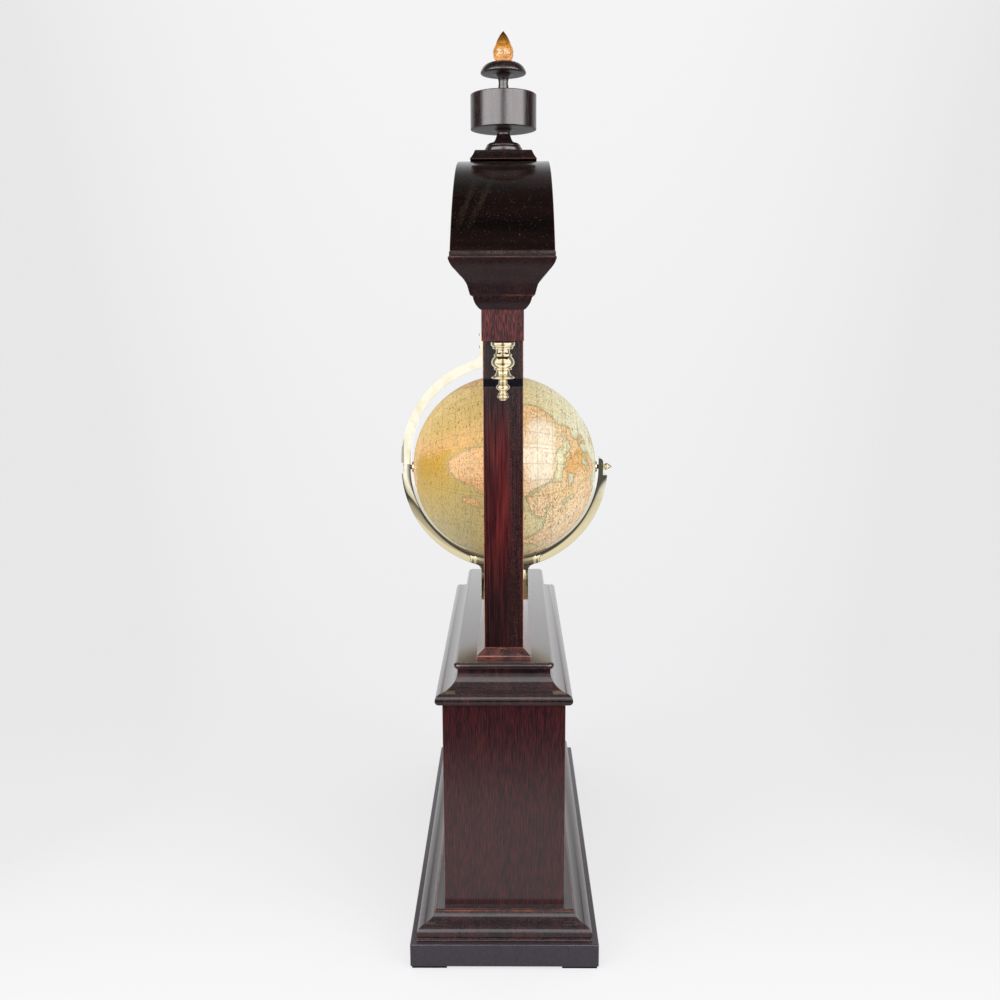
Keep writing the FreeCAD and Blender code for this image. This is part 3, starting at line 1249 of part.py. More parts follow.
def centre_wheel():
    """Centre arbor with its pinion, its wheel and the mitre gear behind the rear plate."""
    y = plane(CENTRE_PLANE_SHARE)
    body = rod_y(CENTRE_ARBOR_RADIUS, 0, DIAL_Z, BOARD_BACK - MINUTE_HAND_OFF_DIAL - HAND_THICKNESS * 2,
                 SHAFT_Y - MITRE_RADIUS + MITRE_FACE)
    centre = (0.0, 0.0)
    pinion = gear(centre, CENTRE_PINION_TEETH, TEETH_MODULE, GREAT_Y - SEAT_FIT,
                  GREAT_Y + BARREL_WALL + SEAT_FIT,
                  facing(centre, BARREL_AT), False)
    wheel = gear(centre, CENTRE_TEETH, TEETH_MODULE, y, y + WHEEL_THICKNESS, facing(centre, THIRD_AT), True)
    return body.fuse(pinion).fuse(wheel).fuse(mitre_gear(True))


def mitre_gear(tooth_at_mate):
    """Bevel gear on the centre arbor, its teeth aimed at the shaft below."""
    big = gear_face(0, 0, 0, MITRE_TEETH, MITRE_MODULE, 270.0, tooth_at_mate).OuterWire
    small_share = (MITRE_RADIUS - MITRE_FACE) / MITRE_RADIUS
    small = gear_face(0, 0, 0, MITRE_TEETH, MITRE_MODULE, 270.0, tooth_at_mate, small_share).OuterWire
    big.translate(vec(0, SHAFT_Y - MITRE_RADIUS, DIAL_Z))
    small.translate(vec(0, SHAFT_Y - MITRE_RADIUS + MITRE_FACE, DIAL_Z))
    return solid(Part.makeLoft([big, small], True, True))


def third_wheel():
    y = plane(THIRD_PLANE_SHARE)
    centre_y = plane(CENTRE_PLANE_SHARE)
    low = centre_y - PINION_LENGTH / 4
    pinion = gear(THIRD_AT, SMALL_PINION_TEETH, TEETH_MODULE, low, low + PINION_LENGTH,
                  facing(THIRD_AT, (0.0, 0.0)), False)
    wheel = gear(THIRD_AT, THIRD_TEETH, TEETH_MODULE, y, y + WHEEL_THICKNESS, facing(THIRD_AT, ESCAPE_AT),
                 True)
    return arbor(THIRD_AT, ARBOR_RADIUS).fuse(pinion).fuse(wheel)


def escape_wheel():
    """Escape wheel with pointed teeth, and its pinion."""
    x, z = ESCAPE_AT[0], DIAL_Z + ESCAPE_AT[1]
    y = plane(ESCAPE_PLANE_SHARE)
    third_y = plane(THIRD_PLANE_SHARE)
    points = []
    for number in range(ESCAPE_TEETH):
        for radius, share in ((ESCAPE_RADIUS, 0.0), (ESCAPE_RADIUS - ESCAPE_TOOTH, ESCAPE_LEAN_SHARE)):
            angle = radians((number + share) * 360.0 / ESCAPE_TEETH)
            points.append(vec(x + radius * cos(angle), y, z + radius * sin(angle)))
    wheel = Part.Face(Part.makePolygon(points + [points[0]])).extrude(vec(0, WHEEL_THICKNESS, 0))
    low = third_y - PINION_LENGTH / 4
    pinion = gear(ESCAPE_AT, SMALL_PINION_TEETH, TEETH_MODULE, low, low + PINION_LENGTH,
                  facing(ESCAPE_AT, THIRD_AT), False)
    return arbor(ESCAPE_AT, ARBOR_RADIUS).fuse(pinion).fuse(solid(wheel))


def pallets():
    """Anchor over the escape wheel with a lever to the balance."""
    y = plane(ESCAPE_PLANE_SHARE)
    x, z = ESCAPE_AT[0], DIAL_Z + ESCAPE_AT[1]
    inner = ESCAPE_RADIUS + PALLET_GAP
    outer = inner + PALLET_DEPTH
    low = PALLET_ANGLE - ANCHOR_SPREAD
    high = PALLET_ANGLE + ANCHOR_SPREAD
    steps = (at_angle(inner, low), at_angle(inner, PALLET_ANGLE) + at_angle(inner, high),
             at_angle(outer, high), at_angle(outer, PALLET_ANGLE) + at_angle(outer, low))
    anchor = solid(closed_face(steps, lambda a, b: vec(x + a, y, z + b)).extrude(vec(0, WHEEL_THICKNESS, 0)))
    aim = facing(PALLET_AT, BALANCE_AT)
    length = (sqrt((BALANCE_AT[0] - PALLET_AT[0]) ** 2 + (BALANCE_AT[1] - PALLET_AT[1]) ** 2)
              - LEVER_SHORT_OF_BALANCE)
    lever = box(0, length, y, y + WHEEL_THICKNESS, -LEVER_WIDTH / 2, LEVER_WIDTH / 2)
    lever.rotate(vec(0, 0, 0), Y_AXIS, -aim)
    lever.translate(vec(PALLET_AT[0], 0, DIAL_Z + PALLET_AT[1]))
    return arbor(PALLET_AT, ARBOR_RADIUS).fuse(anchor).fuse(lever)


def balance_wheel():
    """Balance with a rim, one bar and its staff."""
    x, z = BALANCE_AT[0], DIAL_Z + BALANCE_AT[1]
    y = plane(BALANCE_PLANE_SHARE)
    rim = tube_y(BALANCE_RADIUS, BALANCE_RADIUS - BALANCE_RIM, x, z, y, y + WHEEL_THICKNESS)
    bar = box(x - BALANCE_RADIUS + BALANCE_RIM / 2, x + BALANCE_RADIUS - BALANCE_RIM / 2, y,
              y + WHEEL_THICKNESS,
              z - BALANCE_RIM / 2, z + BALANCE_RIM / 2)
    return arbor(BALANCE_AT, ARBOR_RADIUS).fuse(rim).fuse(bar)


def balance_spring():
    """Flat spring above the balance."""
    y = plane(BALANCE_PLANE_SHARE) + WHEEL_THICKNESS * 2
    strip = HAIRSPRING_STRIP
    return spiral_strip(BALANCE_AT, ARBOR_RADIUS + SEAT_FIT, strip, strip * 2, HAIRSPRING_COILS, y,
                        y + strip * 2)


def cannon_pinion():
    """Pipe on the centre arbor with the pinion of the motion work; it carries the minute hand."""
    front = BOARD_BACK - MINUTE_HAND_OFF_DIAL - HAND_THICKNESS
    pipe = rod_y(CANNON_RADIUS, 0, DIAL_Z, front, FRONT_PLATE_Y - SEAT_FIT)
    back = FRONT_PLATE_Y - SEAT_FIT
    pinion = gear((0.0, 0.0), CANNON_TEETH, TEETH_MODULE, back - PINION_LENGTH, back, MINUTE_ANGLE, False)
    return pipe.fuse(pinion).cut(rod_y(CENTRE_ARBOR_RADIUS, 0, DIAL_Z, front - OVERRUN, back + OVERRUN))


def minute_wheel():
    """Minute wheel and its pinion on the stud of the front plate."""
    back = FRONT_PLATE_Y - SEAT_FIT - PINION_LENGTH / 4
    wheel = gear(MINUTE_AT, MINUTE_TEETH, TEETH_MODULE, back - WHEEL_THICKNESS, back,
                 facing(MINUTE_AT, (0.0, 0.0)), True)
    pinion = gear(MINUTE_AT, MINUTE_PINION_TEETH, HOUR_MODULE, DIAL_BACK + SEAT_FIT * 3,
                  back - WHEEL_THICKNESS,
                  facing(MINUTE_AT, (0.0, 0.0)), False)
    x, z = MINUTE_AT[0], DIAL_Z + MINUTE_AT[1]
    return wheel.fuse(pinion).cut(rod_y(STUD_RADIUS + RUNNING_FIT, x, z, DIAL_BACK - OVERRUN,
                                        FRONT_PLATE_Y + OVERRUN))


def hour_wheel():
    """Hour wheel on its pipe, which runs on the cannon pinion and carries the hour hand."""
    bore, outer = hour_pipe_radii()
    back = FRONT_PLATE_Y - SEAT_FIT * 3 - PINION_LENGTH
    front = BOARD_BACK - HOUR_HAND_OFF_DIAL - HAND_THICKNESS
    wheel = gear((0.0, 0.0), HOUR_TEETH, HOUR_MODULE, back - WHEEL_THICKNESS, back, MINUTE_ANGLE, True)
    pipe = rod_y(outer, 0, DIAL_Z, front, back)
    return wheel.fuse(pipe).cut(rod_y(CANNON_RADIUS + SEAT_FIT / 2, 0, DIAL_Z, front - OVERRUN,
                                      back + OVERRUN))


# Drive to the globe

def roller_bottom():
    return GLOBE_Z + GLOBE_RADIUS + ROLLER_ABOVE_GLOBE


def drive_shaft():
    """Vertical shaft with a mitre gear at its top and a collar on the sill bush."""
    top = DIAL_Z - MITRE_RADIUS + MITRE_FACE
    body = rod_z(SHAFT_RADIUS, 0, SHAFT_Y, roller_bottom(), top)
    collar = rod_z(COLLAR_RADIUS, 0, SHAFT_Y, SILL_TOP + SEAT_FIT, SILL_TOP + SEAT_FIT + COLLAR_HEIGHT)
    mate = mitre_gear(False)
    mate.rotate(vec(0, SHAFT_Y, DIAL_Z), X_AXIS, 90)
    return body.fuse(collar).fuse(mate)


def drive_roller():
    """Rubber roller at the foot of the shaft; it drives the ring by friction."""
    low = roller_bottom()
    return tube_z(ROLLER_RADIUS, SHAFT_RADIUS, 0, SHAFT_Y, low, low + ROLLER_HEIGHT)


def shaft_bushes():
    """Brass bushes of the drive shaft in the hanger block and in the sill."""
    low = BEAM_BOTTOM - HANGER_DEPTH
    bore = SHAFT_RADIUS + RUNNING_FIT
    return [tube_z(SHAFT_BUSH_RADIUS, bore, 0, SHAFT_Y, low, low + SHAFT_BUSH_LENGTH),
            tube_z(SHAFT_BUSH_RADIUS, bore, 0, SHAFT_Y, CORNICE_TOP, SILL_TOP)]


def build():
    os.makedirs("parts", exist_ok=True)
    makers = (base_slab, base_feet, base_moulding, pedestal_boards, pedestal_cornice, torus_slab,
              plinth_slab, posts, post_bands, beam, pendants, hanger_block, standing_block, rear_bracket,
              front_bracket, bracket_screws, globe_axle, acorn_nut, globe_shell, pole_bushes, equator_ring,
              cornice_core, top_cornice, hood_sill, hood_front_board, hood_rear_board, hood_roof, hood_door,
              door_hinge_fixed, door_hinge_moving, door_knob, finial_plate, finial_turning, flame, dial,
              dial_screws, bezel, bezel_glass, bezel_hinge, hour_hand, minute_hand, movement_front_plate,
              movement_rear_plate, movement_pillars, barrel, mainspring, winding_arbor, click, centre_wheel,
              third_wheel, escape_wheel, pallets, balance_wheel, balance_spring, cannon_pinion,
              minute_wheel, hour_wheel, drive_shaft, drive_roller, shaft_bushes)
    for maker in makers:
        write(maker.__name__, maker())


build()
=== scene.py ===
from math import cos, pi, radians, sin
import bmesh
import bpy
import numpy as np
from mathutils import Matrix, Vector


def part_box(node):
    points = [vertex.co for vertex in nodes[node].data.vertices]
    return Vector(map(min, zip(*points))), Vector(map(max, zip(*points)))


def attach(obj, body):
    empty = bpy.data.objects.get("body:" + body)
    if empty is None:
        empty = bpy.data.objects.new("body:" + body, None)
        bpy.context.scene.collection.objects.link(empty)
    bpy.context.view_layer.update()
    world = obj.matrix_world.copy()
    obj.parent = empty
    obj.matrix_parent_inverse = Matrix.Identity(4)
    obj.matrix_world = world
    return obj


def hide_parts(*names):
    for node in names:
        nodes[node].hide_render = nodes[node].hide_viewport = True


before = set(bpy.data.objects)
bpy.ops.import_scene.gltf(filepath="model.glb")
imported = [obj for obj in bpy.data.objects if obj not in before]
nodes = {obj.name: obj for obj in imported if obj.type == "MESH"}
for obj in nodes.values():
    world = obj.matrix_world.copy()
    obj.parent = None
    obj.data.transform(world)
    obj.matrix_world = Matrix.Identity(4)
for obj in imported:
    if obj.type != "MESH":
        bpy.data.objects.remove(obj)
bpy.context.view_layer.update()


# Base slab: one flat mahogany board under the whole clock, stained near black and
# waxed. Its arrises are rubbed down to bare orange wood.
class Finish:
    """The node tree of one material, or of the world, put together socket by socket."""

    def __init__(self, name, kind="materials"):
        self.made = getattr(bpy.data, kind).new(name)
        self.made.use_nodes = True
        self.tree = self.made.node_tree
        self.tree.nodes.clear()
        self.coordinates = self.node("TexCoord").outputs
        self.place = self.coordinates["Object"]
        self.facing = self.coordinates["Normal"]

    def node(self, kind, inputs=(), **settings):
        made = self.tree.nodes.new("ShaderNode" + kind)
        for name, value in settings.items():
            setattr(made, name, value)
        for name, value in dict(inputs).items():
            if isinstance(value, bpy.types.NodeSocket):
                self.tree.links.new(value, made.inputs[name])
            else:
                made.inputs[name].default_value = value
        return made

    def math(self, operation, *values):
        return self.node("Math", enumerate(values), operation=operation).outputs[0]

    def times(self, first, *others):
        for value in others:
            first = self.math("MULTIPLY", first, value)
        return first

    def plus(self, first, *others):
        for value in others:
            first = self.math("ADD", first, value)
        return first

    def minus(self, first, second):
        return self.math("SUBTRACT", first, second)

    def highest(self, first, second):
        return self.math("MAXIMUM", first, second)

    def size(self, value):
        return self.math("ABSOLUTE", value)

    def blend(self, share, first, second):
        return self.node("Mix", {0: share, 2: first, 3: second}, data_type="FLOAT").outputs[0]

    def scaled(self, scale, place=None, shift=(0, 0, 0)):
        inputs = {"Vector": place or self.place, "Scale": scale, "Location": shift}
        return self.node("Mapping", inputs).outputs[0]

    def axis(self, name, vector=None):
        return self.node("SeparateXYZ", {0: vector or self.place}).outputs[name]

    def noise(self, scale, place=None, detail=2.0, distortion=0.0):
        inputs = {"Vector": place or self.place, "Scale": scale, "Detail": detail, "Distortion": distortion}
        return self.node("TexNoise", inputs).outputs["Fac"]

    def speckle(self, scale, low, high, detail=2.0, to_low=0.0, to_high=1.0):
        return self.spread(self.noise(scale, None, detail), low, high, to_low, to_high)

    def spread(self, value, low, high, to_low=0.0, to_high=1.0, smooth=False):
        inputs = {"Value": value, "From Min": low, "From Max": high, "To Min": to_low, "To Max": to_high}
        kind = "SMOOTHSTEP" if smooth else "LINEAR"
        return self.node("MapRange", inputs, interpolation_type=kind).outputs[0]

    def colours(self, value, *stops):
        ramp = self.node("ValToRGB", {0: value})
        stretch = ramp.color_ramp.elements
        stretch.remove(stretch[1])
        stretch[0].position = stops[0][0]
        stretch[0].color = (*stops[0][1], 1.0)
        for place, colour in stops[1:]:
            stretch.new(place).color = (*colour, 1.0)
        return ramp.outputs[0]

    def mixed(self, share, first, second, blend="MIX"):
        first, second = [v if isinstance(v, bpy.types.NodeSocket) else (*v, 1.0) for v in (first, second)]
        inputs = {0: share, 6: first, 7: second}
        return self.node("Mix", inputs, data_type="RGBA", blend_type=blend).outputs[2]

    def named(self, name):
        return self.node("Attribute", attribute_name=name).outputs["Fac"]

    def bump(self, height, depth, strength=0.5):
        return self.node("Bump", {"Height": height, "Distance": depth, "Strength": strength}).outputs[0]

    def surface(self, colour, rough, normal=None, **inputs):
        inputs = {name.replace("_", " "): value for name, value in inputs.items()}
        inputs.update({"Base Color": colour, "Roughness": rough})
        if normal:
            inputs["Normal"] = normal
        shader = self.node("BsdfPrincipled", inputs)
        self.node("OutputMaterial", {"Surface": shader.outputs[0]})
        return self.made


WORN_ORANGE = (0.30, 0.075, 0.028)
DUST = (0.165, 0.135, 0.140)
UNPOLISHED = 0.45
WELD = 0.00001


def wood(name, dark, red, light, gloss=0.20, contrast=1.0, wear=0.6, dust=0.3, stretch=0.10, shine=0.12,
         fibres=1000, figured=0.3, lacquer=0.0, sheen=0.5):
    """Stained and waxed mahogany: the grain runs up upright faces and along flat ones.

    Faces that look up bear dust and lacquer; undersides were never polished.
    """
    f = Finish(name)
    rise = f.axis("Z", f.facing)
    upward = f.spread(rise, 0.30, 0.90)
    flat = f.math("GREATER_THAN", f.size(rise), 0.8)
    upright, lying = f.scaled((1, 1, stretch)), f.scaled((stretch, 1, 1))
    along = f.node("Mix", {0: flat, 4: upright, 5: lying}, data_type="VECTOR").outputs[1]
    fibre = f.noise(fibres, along, 2.0)
    figure = f.noise(110, f.scaled((1, 1, 0.12)), 4.0, 0.6)
    tone = f.plus(f.times(fibre, 1.0 - figured), f.times(figure, figured))
    half = 0.13 / contrast
    colour = f.colours(tone, (0.5 - half, dark), (0.5, red), (0.5 + half, light))
    pores = f.spread(f.noise(fibres * 1.6, along, 1.0), 0.60, 0.70)
    colour = f.mixed(f.times(pores, 0.5), colour, dark)
    patches = f.speckle(70, 0.44, 0.60, 4.0, 0.15, 1.0)
    colour = f.mixed(f.times(f.named("worn"), patches, wear), colour, WORN_ORANGE)
    specks = f.speckle(1000, 0.55, 0.68, 2.0, 0.25, 1.0)
    settled = f.times(f.spread(rise, 0.45, 0.95), specks, dust)
    colour = f.mixed(settled, colour, DUST)
    rough = f.spread(f.noise(300, along, 3.0), 0.3, 0.7, gloss * 0.85, gloss * 1.2)
    rough = f.blend(upward, rough, shine)
    rough = f.blend(f.spread(rise, -0.05, -0.6), rough, UNPOLISHED)
    relief = f.minus(fibre, pores)
    return f.surface(colour, rough, f.bump(relief, 0.00010, 0.10), IOR=1.5, Specular_IOR_Level=sheen,
                     Coat_Weight=f.times(upward, lacquer), Coat_Roughness=shine, Coat_IOR=1.6)


def arrised(name, width, mitred=False, flatness=0.6, sharpest=25.0, steps=2):
    """A CAD node's shape as one closed mesh whose sharp edges are rubbed round.

    Where the node is mitred, the slanting faces inside its joints are left out.
    """
    mesh = nodes[name].data.copy()
    mesh.name = name + "_board"
    mesh.materials.clear()
    work = bmesh.new()
    work.from_mesh(mesh)
    if mitred:
        ways = [(face, [abs(part) for part in face.normal]) for face in work.faces]
        inner = [face for face, (x, y, z) in ways if z < 0.02 and abs(x - y) < 0.02]
        bmesh.ops.delete(work, geom=inner, context="FACES")
    bmesh.ops.remove_doubles(work, verts=work.verts, dist=WELD)
    bmesh.ops.dissolve_limit(work, angle_limit=radians(flatness), verts=work.verts, edges=work.edges)
    bmesh.ops.recalc_face_normals(work, faces=work.faces)
    worn = work.faces.layers.float.new("worn")
    edges = [e for e in work.edges if len(e.link_faces) == 2 and e.calc_face_angle() > radians(sharpest)]
    made = bmesh.ops.bevel(work, geom=edges, offset=width, offset_type="OFFSET", segments=steps, profile=0.5,
                           affect="EDGES", clamp_overlap=True, material=-1)
    for face in made["faces"]:
        face[worn] = 1.0
    work.to_mesh(mesh)
    work.free()
    mesh.shade_smooth()
    mesh.set_sharp_from_angle(angle=radians(20))
    return bpy.data.objects.new(mesh.name, mesh)


def smoothed(name):
    """A CAD node's shape as one closed mesh, smooth but for its sharp edges."""
    mesh = nodes[name].data.copy()
    mesh.name = name + "_turned"
    mesh.materials.clear()
    work = bmesh.new()
    work.from_mesh(mesh)
    bmesh.ops.remove_doubles(work, verts=work.verts, dist=WELD)
    work.to_mesh(mesh)
    work.free()
    mesh.shade_smooth()
    mesh.set_sharp_from_angle(angle=radians(30))
    return bpy.data.objects.new(mesh.name, mesh)


def fit(piece, node, body, material):
    """Puts a piece into the scene in the place of a CAD node."""
    bpy.context.scene.collection.objects.link(piece)
    piece.data.materials.clear()
    piece.data.materials.append(material)
    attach(piece, body)
    if node:
        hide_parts(node)


def board(name, material, width, mitred=False, body="frame"):
    """Fits a wooden piece with rubbed arrises over its CAD node."""
    fit(arrised(name, width, mitred), name, body, material)


def paint(material, *names):
    """Gives a material to CAD nodes that are seen as they are."""
    for name in names:
        slots = nodes[name].material_slots
        if not slots:
            nodes[name].data.materials.append(material)
        for slot in slots:
            slot.material = material


black_mahogany = wood("black_mahogany", (0.013, 0.010, 0.017), (0.018, 0.012, 0.020), (0.024, 0.014, 0.022),
                      gloss=0.28, wear=0.5, dust=0.5, shine=0.20, contrast=0.5, stretch=0.5)
board("base_slab", black_mahogany, width=0.0009)


# Foot pads: thin dark squares of wood glued under the corners of the base slab. They
# lift the clock about two millimetres.
pad_wood = wood("pad_wood", (0.004, 0.002, 0.002), (0.008, 0.003, 0.003), (0.016, 0.005, 0.005),
                gloss=0.5, wear=0.1, sheen=0.0)
board("base_feet", pad_wood, width=0.0003)


# Base moulding: a broad hollow above a round bead, four lengths mitred and glued round
# the foot of the pedestal. The top edge and the mitres are worn to orange wood.
dark_mahogany = wood("dark_mahogany", (0.006, 0.004, 0.005), (0.016, 0.007, 0.009), (0.036, 0.012, 0.013),
                     gloss=0.19, wear=0.8, dust=0.3, fibres=700, figured=0.6, shine=0.16, lacquer=0.6,
                     sheen=0.4)
board("base_moulding", dark_mahogany, width=0.0007, mitred=True)


# Pedestal: four boards of red mahogany with upright grain and short dark pores, glued
# into a box. Only its corner arrises are worn.
red_mahogany = wood("red_mahogany", (0.010, 0.004, 0.006), (0.028, 0.0065, 0.008), (0.062, 0.011, 0.012),
                    gloss=0.15, wear=0.35, dust=0.1, contrast=0.9, stretch=0.05, fibres=1500, figured=0.15)
board("pedestal_boards", red_mahogany, width=0.0006, mitred=True)


# Pedestal cornice: a half-round nose under a deep hollow, run in four lengths and mitred
# round the top of the pedestal box. It is glossy enough to mirror the globe.
glossy_mahogany = wood("glossy_mahogany", (0.006, 0.003, 0.004), (0.017, 0.006, 0.007), (0.040, 0.012, 0.012),
                       gloss=0.13, wear=0.8, dust=0.4, fibres=700, figured=0.6, shine=0.15, lacquer=1.0,
                       sheen=0.4)
board("pedestal_cornice", glossy_mahogany, width=0.0006, mitred=True)


# Slabs under the posts: one with a half-round edge, one narrow with a bevelled edge,
# glued on top of each other. Dust lies on both.
board("torus_slab", glossy_mahogany, width=0.0006)
plinth_mahogany = wood("plinth_mahogany", (0.012, 0.005, 0.005), (0.055, 0.018, 0.016), (0.120, 0.045, 0.038),
                       gloss=0.16, wear=1.0, dust=0.4, fibres=500, figured=0.7, shine=0.15, lacquer=1.0)
board("plinth_slab", plinth_mahogany, width=0.0008)


# Posts: two square mahogany posts that carry the hood over the globe. The middle of each
# outer face is painted with a deep red glow in a band of height, and painted shade darkens
# the face towards both sides, most on one side, where dusty specks lie.
GLOW_BAND_FROM = (0.35, 0.43)
GLOW_BAND_TO = (0.56, 0.50)


def post_finish():
    f = Finish("post_mahogany")
    along = f.scaled((1, 1, 0.03))
    fibre = f.noise(900, along, 2.0)
    figure = f.noise(150, f.scaled((1, 1, 0.08)), 3.0, 0.5)
    tone = f.plus(f.times(fibre, 0.6), f.times(figure, 0.4))
    red = f.colours(tone, (0.38, (0.030, 0.003, 0.004)), (0.50, (0.056, 0.005, 0.006)),
                    (0.62, (0.110, 0.012, 0.011)))
    dark = f.colours(tone, (0.38, (0.004, 0.002, 0.003)), (0.50, (0.010, 0.003, 0.004)),
                     (0.62, (0.026, 0.006, 0.006)))
    height = f.axis("Z")
    # painted glow: deep red in a band of height on each outer face, darker above and below it
    glow_band = [f.spread(height, *ends, smooth=True) for ends in (GLOW_BAND_FROM, GLOW_BAND_TO)]
    glow_band = f.times(*glow_band)
    glow_band = f.plus(0.03, f.times(glow_band, 0.97))
    # painted shade: darker towards both sides of the face, most towards -Y, where pale dusty specks lie
    across = f.plus(f.axis("Y"), f.times(f.minus(f.noise(40, along, 2.0), 0.5), 0.008))
    near_side = f.spread(across, -0.0085, -0.0020)
    far_side = f.spread(across, 0.018, 0.002, 0.35, 1.0)
    glow = f.times(f.plus(0.10, f.times(near_side, 0.90)), far_side)
    colour = f.mixed(f.times(glow_band, glow), dark, red)
    specks = f.speckle(1500, 0.52, 0.66)
    specks = f.times(specks, f.minus(0.42, f.times(near_side, 0.36)))
    colour = f.mixed(specks, colour, (0.12, 0.055, 0.045))
    low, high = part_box("post_bands")
    beside_band = f.math("COMPARE", height, (low.z + high.z) / 2, (high.z - low.z) / 2 + 0.0015)
    worn = f.times(f.named("worn"), f.speckle(160, 0.25, 0.55, 4.0))
    colour = f.mixed(f.times(worn, f.minus(1.0, beside_band)), colour, (0.40, 0.11, 0.050))
    return f.surface(colour, f.spread(fibre, 0.3, 0.7, 0.14, 0.22), f.bump(fibre, 0.0001, 0.10), IOR=1.5,
                     Specular_IOR_Level=0.4)


board("posts", post_finish(), width=0.0007)


# Post bands: a flush strip of ebonised wood let into the four faces of each post, a little
# below the beam.
ebonised = wood("ebonised", (0.001, 0.001, 0.003), (0.002, 0.002, 0.005), (0.005, 0.006, 0.012),
                gloss=0.16, wear=0.0, dust=0.0, sheen=0.12)
paint(ebonised, "post_bands")


# Beam and the two blocks that hold the globe's brackets: plain mahogany boards glued
# between and over the posts, a shade lighter on the end of the beam.
beam_mahogany = wood("beam_mahogany", (0.012, 0.006, 0.007), (0.040, 0.011, 0.012), (0.130, 0.028, 0.028),
                     gloss=0.20, wear=0.6, dust=0.1, contrast=1.4, stretch=0.14, sheen=0.2)
board("beam", beam_mahogany, width=0.0005)
for name in ("hanger_block", "standing_block"):
    board(name, dark_mahogany, width=0.0005)


# Pendants, brackets, screws, axle and nut: turned and cast brass, polished and lacquered,
# clouded and specked with tarnish. The brackets' strips have a domed face, a darker golden
# tone below the globe and dark feet; the golden tone and the dark feet are painted reflections.
PENDANT_TURN = (
    (0.0, -0.181), (0.225, -0.181), (0.225, 0.0), (0.78, 0.0), (0.95, 0.010, 1.0, 0.045),
    (0.97, 0.085, 0.84, 0.105), (0.86, 0.125, 0.80, 0.14), (0.62, 0.145), (0.58, 0.18, 0.66, 0.215),
    (0.74, 0.22), (0.76, 0.235, 0.74, 0.25), (0.72, 0.255), (0.965, 0.36, 0.72, 0.452),
    (0.76, 0.466, 0.72, 0.48), (0.64, 0.482), (0.56, 0.505, 0.60, 0.53), (0.74, 0.57, 0.93, 0.592),
    (0.97, 0.61, 0.90, 0.627), (0.45, 0.642), (0.36, 0.655), (0.36, 0.672), (0.42, 0.678, 0.38, 0.69),
    (0.36, 0.70), (0.40, 0.715), (0.58, 0.768, 0.40, 0.822), (0.31, 0.835), (0.31, 0.855),
    (0.42, 0.865, 0.42, 0.885), (0.38, 0.89), (0.50, 0.925, 0.38, 0.957), (0.31, 0.965),
    (0.24, 0.99, 0.0, 1.0))
PENDANT_RADIUS = 0.0111
PENDANT_LENGTH = 0.0552
STRIP_INNER = 0.1044
STRIP_WIDTH = 0.0101
STRIP_CROWN = 0.0217
STRIP_TILT = 0.11
RIGHT_CROWN = (0.002, -0.045)
LEFT_CROWN = (-0.022, -0.070)
PAINTED_GOLD_HEIGHTS = (0.440, 0.425)
LEG_TOPS = (0.345, 0.333)


def rounded(steps, bends=7):
    """Points of an outline; a step of four numbers is a bend through its first pair."""
    points = [steps[0]]
    for step in steps[1:]:
        start, middle, end = points[-1], step[:2], step[-2:]
        if len(step) == 2:
            points.append(end)
            continue
        for t in [(i + 1) / bends for i in range(bends)]:
            weights = ((1 - t) * (1 - 2 * t), 4 * t * (1 - t), t * (2 * t - 1))
            points.append(tuple(sum(w * p[k] for w, p in zip(weights, (start, middle, end))) for k in (0, 1)))
    return points


def turned(name, centres, steps, radius, length, around=48):
    """Pieces turned about upright axes, their outline in shares of radius and length."""
    work = bmesh.new()
    for centre in centres:
        x, y, z = centre
        spots = [work.verts.new((x + out * radius, y, z - down * length)) for out, down in rounded(steps)]
        edges = [work.edges.new(pair) for pair in zip(spots, spots[1:])]
        bmesh.ops.spin(work, geom=spots + edges, cent=centre, axis=(0, 0, 1), angle=2 * pi,
                       steps=around, use_merge=True)
    bmesh.ops.remove_doubles(work, verts=work.verts, dist=WELD / 2)
    bmesh.ops.recalc_face_normals(work, faces=work.faces)
    mesh = bpy.data.meshes.new(name)
    work.to_mesh(mesh)
    work.free()
    mesh.shade_smooth()
    mesh.set_sharp_from_angle(angle=radians(35))
    return bpy.data.objects.new(name, mesh)


def strip_crown(f):
    """Height in metres of the domed face of the bracket strips, for a bump."""
    low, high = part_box("globe_axle")
    out = f.scaled((0, 1, 1), None, (0, 0, -(low.z + high.z) / 2))
    out = f.node("VectorMath", {0: out}, operation="LENGTH").outputs["Value"]
    past = f.math("MINIMUM", f.highest(f.minus(out, STRIP_INNER), 0.0), STRIP_WIDTH)
    right, left = [f.spread(f.axis("Z"), low.z + start, low.z + end, 0.0, -0.5 / STRIP_CROWN, True)
                   for start, end in (RIGHT_CROWN, LEFT_CROWN)]
    leftward = f.math("GREATER_THAN", f.axis("Y"), 0.0)
    below = f.blend(leftward, right, left)
    above = f.math("GREATER_THAN", f.axis("Z"), high.z)
    tilt = f.times(f.axis("Y"), -STRIP_TILT, above)
    return f.plus(f.times(past, past, below), tilt)


